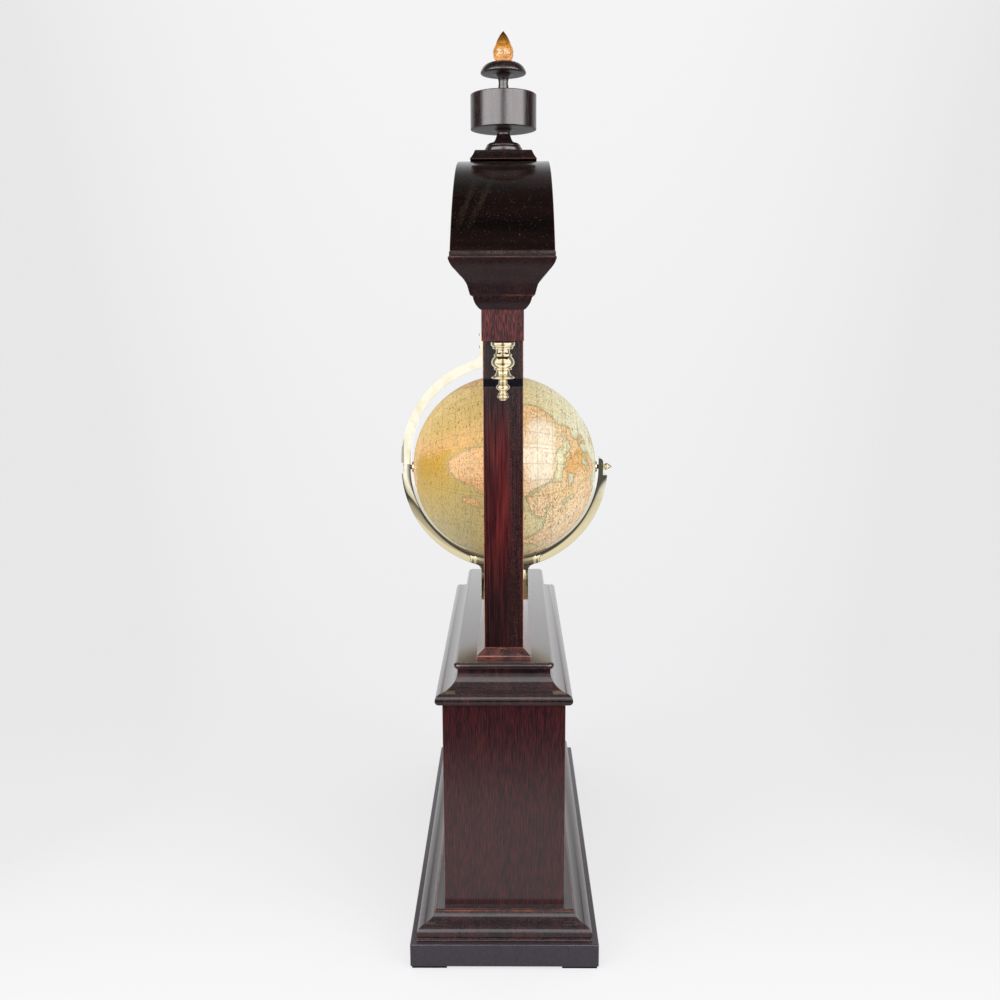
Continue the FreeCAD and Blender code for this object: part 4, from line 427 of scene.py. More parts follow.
def brass_finish(name, tone, shade, dulled=0.0, crowned=False):
    f = Finish(name)
    cloud = f.noise(70, None, 5.0, 0.4)
    colour = f.mixed(f.spread(cloud, 0.42, 0.72), tone, shade)
    spots = f.speckle(900, 0.70, 0.80, 3.0)
    colour = f.mixed(f.times(spots, 0.35), colour, (0.30, 0.20, 0.09))
    rough = 0.0
    if dulled:
        scratch = f.noise(2200, f.scaled((1, 1, 0.05)), 2.0)
        rough = f.spread(scratch, 0.35, 0.65, dulled * 0.8, dulled * 1.3)
    height = f.times(f.noise(260, None, 2.0), 0.000003)
    if crowned:
        height = f.plus(height, strip_crown(f))
        # painted reflection: a darker golden tone on the strips below the globe
        colour = f.mixed(f.spread(f.axis("Z"), *PAINTED_GOLD_HEIGHTS, 0.0, 0.85), colour, (0.50, 0.43, 0.26))
        # painted reflection: the outer edges of the strips' legs are painted dark
        edge_on = f.math("GREATER_THAN", f.size(f.axis("X", f.facing)), 0.7)
        painted_dark_legs = f.times(f.spread(f.axis("Z"), *LEG_TOPS), edge_on)
        colour = f.mixed(painted_dark_legs, colour, (0.035, 0.025, 0.012))
    return f.surface(colour, rough, f.bump(height, 1.0, 1.0), Metallic=1.0)


polished_brass = brass_finish("polished_brass", (0.84, 0.74, 0.52), (0.74, 0.62, 0.38))
crowned_brass = brass_finish("crowned_brass", (0.74, 0.70, 0.57), (0.64, 0.59, 0.43), crowned=True)
for name in ("rear_bracket", "front_bracket"):
    fit(arrised(name, width=0.0005, flatness=0.1), name, "frame", crowned_brass)
low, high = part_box("pendants")
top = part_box("beam")[0].z
drops = [(x, 0.0, top) for x in (low.x + PENDANT_RADIUS, high.x - PENDANT_RADIUS)]
drops = turned("drops", drops, PENDANT_TURN, PENDANT_RADIUS, PENDANT_LENGTH)
fit(drops, "pendants", "frame", polished_brass)
fit(smoothed("acorn_nut"), "acorn_nut", "frame", polished_brass)
for name in ("globe_axle", "bracket_screws"):
    fit(smoothed(name), name, "frame", polished_brass)


# Globe: a hollow plaster and paper shell covered with printed map gores and a yellowed
# varnish. The map is a general one, without names.
AFRICA = (
    (-6, 36), (3, 37), (10, 37), (11, 34), (15, 32), (20, 31), (22, 33), (29, 31), (32, 31), (34, 27),
    (37, 21), (39, 16), (43, 12), (45, 10.5), (51, 12), (49, 6), (44, 1), (40, -4), (39, -8), (41, -14),
    (36, -18), (35, -24), (32, -29), (27, -34), (20, -35), (18, -32), (15, -26), (12, -17), (13, -11),
    (9, -1), (9, 4), (5, 6), (-2, 5), (-8, 4.5), (-13, 8), (-17, 13), (-17, 21), (-13, 28), (-10, 31))
EURASIA = (
    (-9, 43), (-9, 37), (-5, 36), (0, 39), (3, 42), (8, 44), (12, 42), (16, 38), (18, 40), (13, 45),
    (19, 42), (22, 37), (24, 40), (27, 37), (35, 36.5), (35, 31), (34.5, 28), (39, 21), (43, 13), (52, 16),
    (59.5, 22), (56, 26), (51, 25), (48, 30), (54, 27), (61, 25), (67, 24), (72, 20), (74, 13), (77, 8),
    (80, 13), (83, 18), (90, 22), (94, 17), (98, 12), (100, 4), (103, 1.5), (101, 12), (105, 9), (109, 13),
    (106, 19), (111, 21), (120, 26), (121, 32), (118, 38), (125, 39), (127, 35), (129, 37), (129, 42),
    (138, 47), (141, 53), (137, 55), (151, 59), (156, 57), (157, 52), (163, 58), (170, 60), (179, 63),
    (178, 69), (160, 70), (140, 73), (113, 74), (104, 77), (87, 75), (73, 71), (66, 69), (54, 68),
    (44, 67), (41, 65), (34, 65), (40, 68), (28, 71), (19, 70), (12, 65), (5, 61), (7, 58), (11, 59),
    (13, 55.5), (17, 58), (18, 62), (24, 65.5), (21, 61), (29, 60), (23, 58), (20, 54.5), (11, 54),
    (9, 57), (8, 54), (3, 51), (-2, 49), (-1, 46), (-2, 43.5))
BLACK_SEA = ((28, 41.5), (31, 46.5), (36, 45.5), (39, 47), (38, 44.5), (41.5, 42), (36, 41.5))
CASPIAN_SEA = ((47, 45), (51, 47), (53, 44.5), (51, 42.5), (54, 40), (54, 37), (50, 37), (49, 41))
BRITAIN = ((-5, 50), (1, 51), (1, 53), (-2, 56), (-3, 58.5), (-6, 57), (-3, 54))
IRELAND = ((-10, 52), (-6, 52), (-6, 55), (-10, 54.5))
ICELAND = ((-22, 64), (-14, 65), (-17, 66.5), (-24, 65.5))
SCANDINAVIAN_ISLE = ((12, 78), (20, 77), (27, 80), (14, 80))
MADAGASCAR = ((44, -25), (47, -25), (50, -16), (49, -12), (44, -17))
CEYLON = ((80, 6), (82, 7), (80, 9.5))
SUMATRA = ((95, 5), (106, -5), (104, -5.5), (95.5, 3))
JAVA = ((105, -6), (114, -7.5), (114, -8.5), (106, -7))
BORNEO = ((109, 1), (117, 7), (119, 5), (116, -4), (110, -3))
CELEBES = ((119, 0), (125, 1.5), (121, 0), (123, -5), (120, -5))
NEW_GUINEA = ((131, -1), (141, -2.5), (150, -10), (143, -9), (138, -8), (133, -3))
PHILIPPINES = ((120, 18), (122, 18), (126, 7), (122, 8))
JAPAN = ((130, 31), (136, 34), (140, 35), (142, 40), (145, 43), (141, 45), (139, 38), (132, 35))
AUSTRALIA = (
    (114, -22), (122, -18), (129, -15), (131, -12), (137, -12), (136, -15), (140, -17), (142, -11),
    (146, -19), (153, -26), (150, -37), (146, -39), (140, -37), (137, -35), (131, -32), (124, -33),
    (115, -34.5))
TASMANIA = ((145, -41), (148, -41), (147, -43.5))
NEW_ZEALAND = ((173, -35), (178, -38), (174, -42), (168, -47), (167, -45.5), (173, -40))
NORTH_AMERICA = (
    (-168, 66), (-156, 71), (-128, 70), (-110, 68), (-95, 72), (-82, 68), (-94, 61), (-92, 57), (-82, 55),
    (-80, 51.5), (-78, 62), (-65, 58), (-56, 52), (-65, 49), (-60, 46), (-70, 43), (-75, 38), (-81, 31),
    (-80, 25.5), (-83, 30), (-90, 29), (-97, 27), (-97, 21), (-90, 21), (-87, 21), (-88, 16), (-83, 15),
    (-83, 9), (-78, 9), (-85, 11), (-95, 16), (-105, 20), (-112, 30), (-110, 23), (-117, 33), (-124, 40),
    (-124, 48), (-135, 58), (-152, 60), (-164, 54), (-158, 58))
BAFFIN_ISLAND = ((-88, 73), (-72, 71), (-62, 66), (-72, 63), (-80, 70))
GREENLAND = ((-60, 82), (-30, 83), (-18, 78), (-24, 70), (-42, 60), (-52, 66), (-57, 75), (-72, 78))
CUBA = ((-84, 22), (-77, 20), (-75, 20.5), (-81, 23))
HISPANIOLA = ((-74, 18), (-69, 18.5), (-71, 20), (-73.5, 19.7))
SOUTH_AMERICA = (
    (-78, 8), (-72, 12), (-62, 10.5), (-52, 5), (-50, 0), (-35, -6), (-39, -14), (-41, -22), (-48, -27),
    (-54, -34), (-58, -38), (-65, -43), (-68, -51), (-66, -55), (-74, -51), (-73, -38), (-70, -20),
    (-76, -14), (-81, -6), (-80, 2))
ANTARCTICA = (
    (-180, -78), (-150, -77), (-120, -74), (-90, -73), (-62, -65), (-60, -75), (-30, -78), (0, -70),
    (30, -69), (60, -67), (90, -66), (120, -67), (150, -69), (170, -72), (180, -78), (180, -90),
    (-180, -90))
LANDS = (
    AFRICA, EURASIA, BRITAIN, IRELAND, ICELAND, SCANDINAVIAN_ISLE, MADAGASCAR, CEYLON, SUMATRA, JAVA,
    BORNEO, CELEBES, NEW_GUINEA, PHILIPPINES, JAPAN, AUSTRALIA, TASMANIA, NEW_ZEALAND, NORTH_AMERICA,
    BAFFIN_ISLAND, GREENLAND, CUBA, HISPANIOLA, SOUTH_AMERICA, ANTARCTICA)
SEAS = (BLACK_SEA, CASPIAN_SEA)
NEAR_MERIDIAN = 32.3
SHORE_REACH = 0.12
NATIONS = 260
# pale spots over the Sahara: partly desert print, partly a painted reflection
DESERTS_AND_REFLECTION = (((2, 24), 0.26), ((16, 23), 0.28), ((27, 22), 0.24), ((18, 12), 0.14))
ROUND_STEPS = 440
POLE_STEPS = 216

globe_low, globe_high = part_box("globe_shell")
globe_centre = (globe_low + globe_high) / 2
globe_radius = (globe_high.x - globe_low.x) / 2


def towards(longitude, latitude):
    """Unit vectors on the globe for places in degrees; the north pole is at -Y."""
    turn = np.radians(longitude - NEAR_MERIDIAN)
    rise = np.radians(latitude)
    return np.stack((-np.cos(rise) * np.cos(turn), -np.sin(rise), -np.cos(rise) * np.sin(turn)), -1)


def shore_distance(places, longitude, latitude, outline):
    """Distance in radii from each place to an outline, above zero inside it."""
    corners = np.array(outline, float)
    spots = towards(corners[:, 0], corners[:, 1])
    middle = spots.mean(0) / np.linalg.norm(spots.mean(0))
    near = places @ middle > np.cos(min(np.arccos(np.clip((spots @ middle).min(), -1, 1)) + SHORE_REACH, pi))
    if not near.all():
        found = np.full(len(places), -SHORE_REACH)
        if near.any():
            found[near] = shore_distance(places[near], longitude[near], latitude[near], outline)
        return found
    ends = np.roll(corners, -1, 0)
    nearest = np.full(len(places), SHORE_REACH)
    inside = np.zeros(len(places), bool)
    for start, end in zip(corners, ends):
        a = towards(start[0], start[1])
        b = towards(end[0], end[1])
        run = b - a
        share = np.clip(((places - a) @ run) / max(run @ run, 1e-12), 0.0, 1.0)
        gap = places - (a + share[:, None] * run)
        nearest = np.minimum(nearest, np.sqrt((gap * gap).sum(1)))
        if start[1] != end[1]:
            crosses = (latitude < start[1]) != (latitude < end[1])
            at = start[0] + (latitude - start[1]) * (end[0] - start[0]) / (end[1] - start[1])
            inside ^= crosses & (longitude < at)
    return np.where(inside, nearest, -nearest)


def globe_map(places):
    """Attributes of the map: distance inland, nation tint, border, and Sahara paleness that is partly desert
    print and partly a painted reflection.
    """
    latitude = np.degrees(np.arcsin(np.clip(-places[:, 1], -1, 1)))
    longitude = NEAR_MERIDIAN + np.degrees(np.arctan2(-places[:, 2], -places[:, 0]))
    longitude = (longitude + 180.0) % 360.0 - 180.0
    inland = np.full(len(places), -SHORE_REACH)
    for outline in LANDS:
        inland = np.maximum(inland, shore_distance(places, longitude, latitude, outline))
    for outline in SEAS:
        inland = np.minimum(inland, -shore_distance(places, longitude, latitude, outline))
    chance = np.random.default_rng(11)
    seats = chance.normal(size=(NATIONS, 3))
    seats /= np.linalg.norm(seats, axis=1)[:, None]
    tints = chance.random(NATIONS)
    closeness = places @ seats.T
    order = np.argpartition(-closeness, 1, axis=1)[:, :2]
    order = np.take_along_axis(order, np.argsort(-np.take_along_axis(closeness, order, 1), axis=1), 1)
    first = np.take_along_axis(closeness, order[:, :1], 1)[:, 0]
    second = np.take_along_axis(closeness, order[:, 1:], 1)[:, 0]
    border = np.arccos(np.clip(second, -1, 1)) - np.arccos(np.clip(first, -1, 1))
    desert_and_reflection = np.zeros(len(places))
    for where, size in DESERTS_AND_REFLECTION:
        gap = np.linalg.norm(places - towards(where[0], where[1]), axis=1)
        desert_and_reflection = np.maximum(desert_and_reflection, np.clip(1.6 - 1.6 * gap / size, 0.0, 1.0))
    millimetres = globe_radius * 1000
    return {"inland": inland * millimetres, "tint": tints[order[:, 0]], "border": border * millimetres,
            "desert_and_reflection": desert_and_reflection}


def globe_paper():
    """Map gores in ochre, grey-green and pink under a browned varnish."""
    f = Finish("globe_paper")
    from_centre = f.scaled((1, 1, 1), None, tuple(-globe_centre))
    unit = f.node("VectorMath", {0: from_centre}, operation="NORMALIZE").outputs[0]
    east, north, down = (f.axis(a, unit) for a in "XYZ")
    latitude = f.math("ARCSINE", f.times(north, -1.0))
    longitude = f.math("ARCTAN2", f.times(down, -1.0), f.times(east, -1.0))
    chart = f.node("CombineXYZ", {"X": f.times(longitude, globe_radius),
                                  "Y": f.times(latitude, globe_radius)}).outputs[0]
    wobble = f.times(f.minus(f.noise(330, None, 6.0), 0.5), 6.0)
    inland = f.plus(f.named("inland"), wobble)
    land = f.spread(inland, -0.2, 0.2)
    # sea: ochre in the south, paler towards the north, grey-green along the shores
    age = f.noise(55, None, 5.0)
    sea = f.colours(f.spread(north, 1.0, -1.0), (0.10, (0.54, 0.32, 0.055)), (0.32, (0.60, 0.40, 0.13)),
                    (0.50, (0.66, 0.49, 0.21)), (0.68, (0.74, 0.64, 0.36)), (0.92, (0.72, 0.69, 0.50)))
    tide = f.minus(down, f.times(f.minus(0.98, north), 0.386))
    tide = f.plus(tide, f.times(f.minus(age, 0.5), 0.22))
    stained = f.colours(f.spread(tide, -0.9, 1.1), (0.10, (0.47, 0.38, 0.17)), (0.30, (0.52, 0.37, 0.11)),
                        (0.44, (0.53, 0.31, 0.04)), (0.49, (0.58, 0.33, 0.05)), (0.52, (0.72, 0.41, 0.13)),
                        (0.57, (0.72, 0.44, 0.17)), (0.62, (0.66, 0.45, 0.15)), (0.80, (0.68, 0.50, 0.20)))
    south = f.times(f.spread(north, 0.05, 0.40, smooth=True), f.spread(east, 0.2, -0.2, smooth=True))
    sea = f.mixed(south, sea, stained)
    shallows = f.times(f.spread(inland, -4.5, -0.2), f.minus(1.0, land))
    sea = f.mixed(f.times(shallows, 0.55), sea, (0.38, 0.36, 0.18))
    # land: pink and orange tints with small dots, nearly white over the Sahara, partly as pale desert print
    # and partly as a painted reflection
    ground = f.colours(f.named("tint"), (0.0, (0.74, 0.41, 0.15)), (0.25, (0.78, 0.50, 0.24)),
                       (0.5, (0.83, 0.57, 0.31)), (0.72, (0.76, 0.42, 0.13)), (0.9, (0.68, 0.50, 0.20)))
    ground = f.mixed(f.spread(north, -0.35, 0.45, 0.0, 0.55, True), ground, (0.76, 0.42, 0.19))
    asia = f.times(f.spread(north, 0.05, -0.35), f.spread(down, 0.05, -0.30))
    ground = f.mixed(f.times(asia, 0.65), ground, (0.96, 0.76, 0.50))
    # painted reflection: the Sahara is paled, partly as desert print and partly standing in for a reflection
    ground = f.mixed(f.named("desert_and_reflection"), ground, (0.86, 0.74, 0.56))
    border = f.times(f.spread(f.plus(f.named("border"), wobble), 1.2, 0.2), 0.45)
    ground = f.mixed(border, ground, (0.50, 0.24, 0.09))
    calm = f.minus(1.0, f.times(f.named("desert_and_reflection"), 0.80))
    dots = f.times(f.speckle(620, 0.54, 0.60, 1.0), f.speckle(150, 0.32, 0.55, 3.0))
    ground = f.mixed(f.times(dots, calm, 0.75), ground, (0.34, 0.16, 0.045))
    colour = f.mixed(land, sea, ground)
    coast = f.spread(f.size(inland), 0.9, 0.2)
    colour = f.mixed(f.times(coast, 0.60), colour, (0.17, 0.17, 0.08))
    # lettering-like strokes along the parallels, dense on land and looser at sea
    strokes = f.noise(640, f.scaled((0.20, 1, 1), chart), 2.0)
    breaks = f.noise(330, chart, 2.0)
    crowd = f.spread(f.noise(85, chart, 2.0), 0.42, 0.60)
    marks = f.times(f.spread(strokes, 0.56, 0.59), f.spread(breaks, 0.46, 0.52))
    marks = f.times(marks, f.plus(0.25, f.times(crowd, 0.75)), calm)
    colour = f.mixed(f.times(marks, 0.88), colour, (0.10, 0.08, 0.02))
    # graticule every ten degrees and the gore seams every thirty
    lines = []
    for angle in (latitude, longitude):
        turns = f.math("DIVIDE", angle, radians(10.0))
        off = f.size(f.minus(f.math("FRACT", f.plus(turns, 100.5)), 0.5))
        lines.append(f.spread(off, 0.034, 0.012))
    grid = f.times(f.highest(*lines), f.speckle(200, 0.35, 0.6, 3.0, 0.20, 0.60))
    colour = f.mixed(grid, colour, (0.27, 0.17, 0.07))
    turns = f.math("DIVIDE", longitude, radians(30.0))
    seam = f.size(f.minus(f.math("FRACT", f.plus(turns, 100.25)), 0.5))
    seam = f.spread(seam, 0.010, 0.002)
    colour = f.mixed(f.times(seam, 0.4), colour, (0.20, 0.13, 0.06))
    # brown runs of old varnish, and paper grain
    runs = f.spread(f.noise(170, f.scaled((0.16, 1, 1), chart), 5.0), 0.50, 0.70)
    colour = f.mixed(f.times(runs, 0.32), colour, (0.42, 0.27, 0.08))
    grain = f.spread(f.noise(700, f.scaled((0.40, 1, 1), chart), 4.0), 0.35, 0.65, 0.78, 1.12)
    grey = f.node("CombineColor", {0: grain, 1: grain, 2: grain}).outputs[0]
    colour = f.mixed(1.0, colour, grey, "MULTIPLY")
    return f.surface(colour, 0.55, f.bump(f.noise(500, None, 3.0), 0.00006, 0.25),
                     Specular_IOR_Level=0.25, Coat_Weight=0.28,
                     Coat_Roughness=f.spread(age, 0.3, 0.7, 0.22, 0.34), Coat_IOR=1.48)


def globe_mesh():
    """A sphere round Y, closed at both poles, that carries the map as attributes."""
    work = bmesh.new()
    bmesh.ops.create_uvsphere(work, u_segments=ROUND_STEPS, v_segments=POLE_STEPS, radius=globe_radius,
                              matrix=Matrix.Translation(globe_centre) @ Matrix.Rotation(pi / 2, 4, "X"))
    mesh = bpy.data.meshes.new("globe_gores")
    work.to_mesh(mesh)
    work.free()
    mesh.shade_smooth()
    spots = np.empty(len(mesh.vertices) * 3, np.float32)
    mesh.vertices.foreach_get("co", spots)
    places = (spots.reshape(-1, 3) - np.array(globe_centre)) / globe_radius
    for name, values in globe_map(places).items():
        mesh.attributes.new(name, "FLOAT", "POINT").data.foreach_set("value", values.astype(np.float32))
    return bpy.data.objects.new("globe_gores", mesh)


fit(globe_mesh(), "globe_shell", "globe", globe_paper())


# Equator ring and pole bushes: thin brass rings let into the shell, which turn with the
# globe on its fixed axle.
old_brass = brass_finish("old_brass", (0.66, 0.52, 0.28), (0.48, 0.36, 0.17), dulled=0.30)
paint(old_brass, "equator_ring", "pole_bushes")


# Top cornice: stacked mouldings with upright grain, in four mitred lengths round a plain
# timber core.
cornice_mahogany = wood("cornice_mahogany", (0.004, 0.002, 0.003), (0.012, 0.005, 0.006),
                        (0.033, 0.012, 0.012), gloss=0.18, wear=0.35, dust=0.1, contrast=1.1,
                        fibres=1300, figured=0.15, sheen=0.27)
board("top_cornice", cornice_mahogany, width=0.0005, mitred=True)
board("cornice_core", dark_mahogany, width=0.0004)


# Hood: a sill, arched front and back boards and a bent roof, French polished nearly
# black. The roof has dusty smears where a hand has wiped it.
SMEARS = ((0.0185, 0.735, -0.40), (0.0325, 0.730, -0.32))


def roof_finish():
    f = Finish("roof_mahogany")
    figure = f.noise(60, f.scaled((1, 0.12, 1)), 4.0, 0.5)
    colour = f.colours(figure, (0.30, (0.0030, 0.0020, 0.0020)), (0.55, (0.0070, 0.0034, 0.0032)),
                       (0.75, (0.014, 0.0050, 0.0045)))
    dusty = f.speckle(700, 0.30, 0.65, 4.0)
    for side, height, lean in SMEARS:
        along = f.minus(f.axis("Z"), height)
        off = f.minus(f.minus(f.axis("Y"), side), f.times(along, lean))
        off = f.size(f.plus(off, f.times(f.minus(f.noise(90), 0.5), 0.008)))
        smear = f.times(f.spread(off, 0.0046, 0.0002, smooth=True), f.spread(f.size(along), 0.034, 0.006))
        colour = f.mixed(f.times(smear, dusty, 0.13), colour, (0.13, 0.09, 0.06))
    specks = f.speckle(800, 0.68, 0.73)
    colour = f.mixed(f.times(specks, 0.6), colour, (0.17, 0.12, 0.07))
    colour = f.mixed(f.times(f.named("worn"), 0.25), colour, (0.12, 0.05, 0.035))
    rough = f.speckle(50, 0.3, 0.7, 3.0, 0.10, 0.18)
    return f.surface(colour, rough, f.bump(figure, 0.0001, 0.2), IOR=1.5, Specular_IOR_Level=0.08)


def sill_finish():
    """The roof's polish with a painted pale highlight along its top edge, under the roof."""
    f = Finish("sill_mahogany")
    grain = f.noise(900, f.scaled((1, 1, 0.3)), 2.0)
    colour = f.colours(grain, (0.38, (0.004, 0.003, 0.003)), (0.50, (0.010, 0.005, 0.005)),
                       (0.62, (0.026, 0.010, 0.009)))
    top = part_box("hood_sill")[1].z
    # painted highlight: a pale speckled line along the top edge of the sill
    painted_highlight = f.spread(f.axis("Z"), top - 0.0034, top - 0.0014)
    painted_highlight = f.times(painted_highlight, f.speckle(60, 0.36, 0.60, 4.0, 0.25, 1.0))
    painted_highlight = f.times(painted_highlight, f.speckle(900, 0.38, 0.55))
    colour = f.mixed(f.times(painted_highlight, 0.4), colour, (0.16, 0.13, 0.12))
    return f.surface(colour, 0.35, f.bump(grain, 0.0001, 0.2), Specular_IOR_Level=0.08)


roof_mahogany = roof_finish()
for name, width in (("hood_roof", 0.0008), ("hood_front_board", 0.0005), ("hood_rear_board", 0.0005)):
    board(name, roof_mahogany, width=width)
board("hood_sill", sill_finish(), width=0.0003)


# Back door: a thin board in a rebate of the rear board, hung on two brass hinges and
# opened by a turned brass knob.
board("hood_door", glossy_mahogany, width=0.0005, body="back_door")
paint(polished_brass, "door_hinge_fixed", "door_hinge_moving", "door_knob")


# Finial: a square stepped plate and a turned drum with a saucer on a waisted stem, of
# dark close-grained wood with a wax shine.
finial_wood = wood("finial_wood", (0.004, 0.003, 0.003), (0.012, 0.006, 0.006), (0.034, 0.013, 0.012),
                   gloss=0.25, wear=0.5, dust=0.15, contrast=1.5, stretch=0.10, fibres=800)
speckled_wood = wood("speckled_wood", (0.003, 0.002, 0.002), (0.006, 0.003, 0.003), (0.034, 0.011, 0.009),
                     gloss=0.24, wear=0.1, dust=0.05, stretch=0.4, fibres=1100, sheen=0.2)
board("finial_plate", speckled_wood, width=0.0005)
fit(smoothed("finial_turning"), "finial_turning", "frame", finial_wood)


# Flame: a solid drop of amber glass with specks of dirt and crackle inside, cemented into
# the saucer.
def amber_finish():
    f = Finish("amber_glass")
    low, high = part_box("flame")
    height = f.spread(f.axis("Z"), low.z, high.z)
    colour = f.colours(height, (0.05, (0.98, 0.52, 0.38)), (0.30, (0.98, 0.56, 0.22)),
                       (0.52, (0.90, 0.40, 0.03)), (0.72, (0.38, 0.15, 0.008)), (0.92, (0.05, 0.02, 0.004)))
    crackle = f.spread(f.noise(480, None, 5.0, 0.6), 0.50, 0.58)
    colour = f.mixed(f.times(crackle, 0.65), colour, (0.20, 0.06, 0.01))
    flecks = f.speckle(1100, 0.60, 0.66, 3.0)
    colour = f.mixed(f.times(flecks, 0.8), colour, (0.08, 0.025, 0.006))
    return f.surface(colour, 0.10, f.bump(f.noise(260, None, 3.0), 0.0003, 0.5), IOR=1.45,
                     Transmission_Weight=0.75)


paint(amber_finish(), "flame")


# Dial, hands and springs: a white enamelled plate with hour figures and minute strokes
# fired on in black, before it blued steel hands, and behind it the movement's steel.
def enamel_finish():
    f = Finish("enamel")
    cloud = f.noise(40, None, 4.0)
    colour = f.mixed(f.spread(cloud, 0.35, 0.7), (0.82, 0.80, 0.74), (0.74, 0.70, 0.61))
    crazing = f.node("TexVoronoi", {"Vector": f.place, "Scale": 260.0}, feature="DISTANCE_TO_EDGE").outputs[0]
    colour = f.mixed(f.times(f.spread(crazing, 0.03, 0.0), 0.18), colour, (0.30, 0.24, 0.17))
    return f.surface(colour, 0.18, f.bump(f.noise(120, None, 2.0), 0.00005, 0.2), Coat_Weight=0.6,
                     Coat_Roughness=0.05)


FIGURES = ("XII", "I", "II", "III", "IIII", "V", "VI", "VII", "VIII", "IX", "X", "XI")
FIGURE_SIZE = 0.0084
FIGURE_CIRCLE = 0.0305
TRACK_CIRCLES = (0.0352, 0.0374)
LINE_WIDTH = 0.00022
FIRED_HEIGHT = 0.00006


def fired_black():
    f = Finish("fired_black")
    colour = f.mixed(f.speckle(700, 0.4, 0.7, 3.0), (0.010, 0.010, 0.012), (0.035, 0.032, 0.030))
    return f.surface(colour, 0.22)


def dial_figures():
    """Twelve hour figures with their feet to the dial's centre, sixty strokes, two rings."""
    low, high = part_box("dial")
    upright = Matrix.Rotation(radians(90), 4, "X")
    centre = Matrix.Translation(((low.x + high.x) / 2, low.y, (low.z + high.z) / 2))
    work = bmesh.new()
    for hour, letters in enumerate(FIGURES):
        curve = bpy.data.curves.new("figure", "FONT")
        curve.body = letters
        curve.size = FIGURE_SIZE
        curve.align_x = "CENTER"
        curve.align_y = "CENTER"
        curve.extrude = FIRED_HEIGHT
        curve.offset = LINE_WIDTH / 2
        curve.resolution_u = 3
        written = bpy.data.objects.new("figure", curve)
        mesh = bpy.data.meshes.new_from_object(written)
        turn = Matrix.Rotation(-radians(30 * hour), 4, "Z")
        mesh.transform(centre @ upright @ turn @ Matrix.Translation((0, FIGURE_CIRCLE, 0)))
        work.from_mesh(mesh)
        bpy.data.objects.remove(written)
        bpy.data.meshes.remove(mesh)
    inner, outer = TRACK_CIRCLES
    for minute in range(60):
        width = LINE_WIDTH * (4 if minute % 5 == 0 else 1.3)
        turn = Matrix.Rotation(-radians(6 * minute), 4, "Z")
        at = centre @ upright @ turn @ Matrix.Translation((0, (inner + outer) / 2, 0))
        size = Matrix.Diagonal((width, outer - inner, FIRED_HEIGHT, 1))
        bmesh.ops.create_cube(work, size=1, matrix=at @ size)
    for radius in TRACK_CIRCLES:
        at = centre @ upright @ Matrix.Translation((0, 0, -FIRED_HEIGHT / 2))
        ring = bmesh.ops.create_circle(work, segments=96, radius=radius - LINE_WIDTH / 2, matrix=at)
        edges = list({e for v in ring["verts"] for e in v.link_edges})
        made = bmesh.ops.extrude_edge_only(work, edges=edges)
        verts = [v for v in made["geom"] if isinstance(v, bmesh.types.BMVert)]
        wider = 1 + LINE_WIDTH / radius
        bmesh.ops.scale(work, verts=verts, vec=(wider, 1, wider),
                        space=Matrix.Translation(-centre.to_translation()))
        faces = list({f for v in verts for f in v.link_faces})
        bmesh.ops.recalc_face_normals(work, faces=faces)
        bmesh.ops.solidify(work, geom=faces, thickness=FIRED_HEIGHT)
    mesh = bpy.data.meshes.new("dial_figures")
    bmesh.ops.recalc_face_normals(work, faces=work.faces)
    work.to_mesh(mesh)
    work.free()
    return bpy.data.objects.new("dial_figures", mesh)


def blued_finish(name, tone, heat):
    f = Finish(name)
    colour = f.mixed(f.speckle(300, 0.35, 0.7, 3.0), tone, heat)
    rough = f.speckle(900, 0.3, 0.7, 2.0, 0.20, 0.34)
    return f.surface(colour, rough, Metallic=1.0)


paint(enamel_finish(), "dial")
fit(dial_figures(), None, "frame", fired_black())
blued_steel = blued_finish("blued_steel", (0.035, 0.050, 0.150), (0.060, 0.045, 0.100))
steel = blued_finish("steel", (0.50, 0.50, 0.51), (0.38, 0.37, 0.36))
paint(blued_steel, "hour_hand", "minute_hand", "mainspring", "balance_spring")
paint(steel, "dial_screws", "winding_arbor", "click", "pallets", "cannon_pinion")


# Bezel: a brass ring that swings on a hinge and holds the dial's round glass.
def glass_finish():
    f = Finish("clear_glass")
    rough = f.speckle(90, 0.4, 0.8, 4.0, 0.0, 0.05)
    return f.surface((0.97, 0.98, 0.97, 1.0), rough, IOR=1.5, Transmission_Weight=1.0)


paint(polished_brass, "bezel", "bezel_hinge")
paint(glass_finish(), "bezel_glass")


# Movement and drive: brass plates and wheels on steel arbors, with a rubber roller that
# turns the globe.
def rubber_finish():
    f = Finish("rubber")
    colour = f.mixed(f.speckle(500, 0.4, 0.7, 4.0), (0.020, 0.019, 0.018), (0.045, 0.042, 0.038))
    return f.surface(colour, 0.75, f.bump(f.noise(1500, None, 2.0), 0.00005, 0.4))


paint(old_brass, "movement_front_plate", "movement_rear_plate", "movement_pillars", "barrel",
      "centre_wheel", "third_wheel", "escape_wheel", "balance_wheel", "minute_wheel", "hour_wheel",
      "drive_shaft", "shaft_bushes")
paint(rubber_finish(), "drive_roller")


# Studio: a pale paper sweep, two wide softboxes left and right of the camera, one more above
# the clock, and a dark room beyond them. Polished brass mirrors the paper at its own level.
TABLE_RADIUS = 4.0
TABLE_END = -0.76
TABLE_BRIGHT = -0.52
PAPER = (1.0, 1.0, 1.012, 1.0)
LENS_PLACE = (-1.1434, -0.00666, 0.6258)
PAPER_LEVELS = ((-0.577, 0.93), (-0.54, 0.91), (-0.50, 0.874), (-0.443, 0.851), (-0.40, 0.845),
                (-0.33, 0.853), (-0.17, 0.87), (-0.08, 0.876), (0.06, 0.89), (0.26, 0.905))


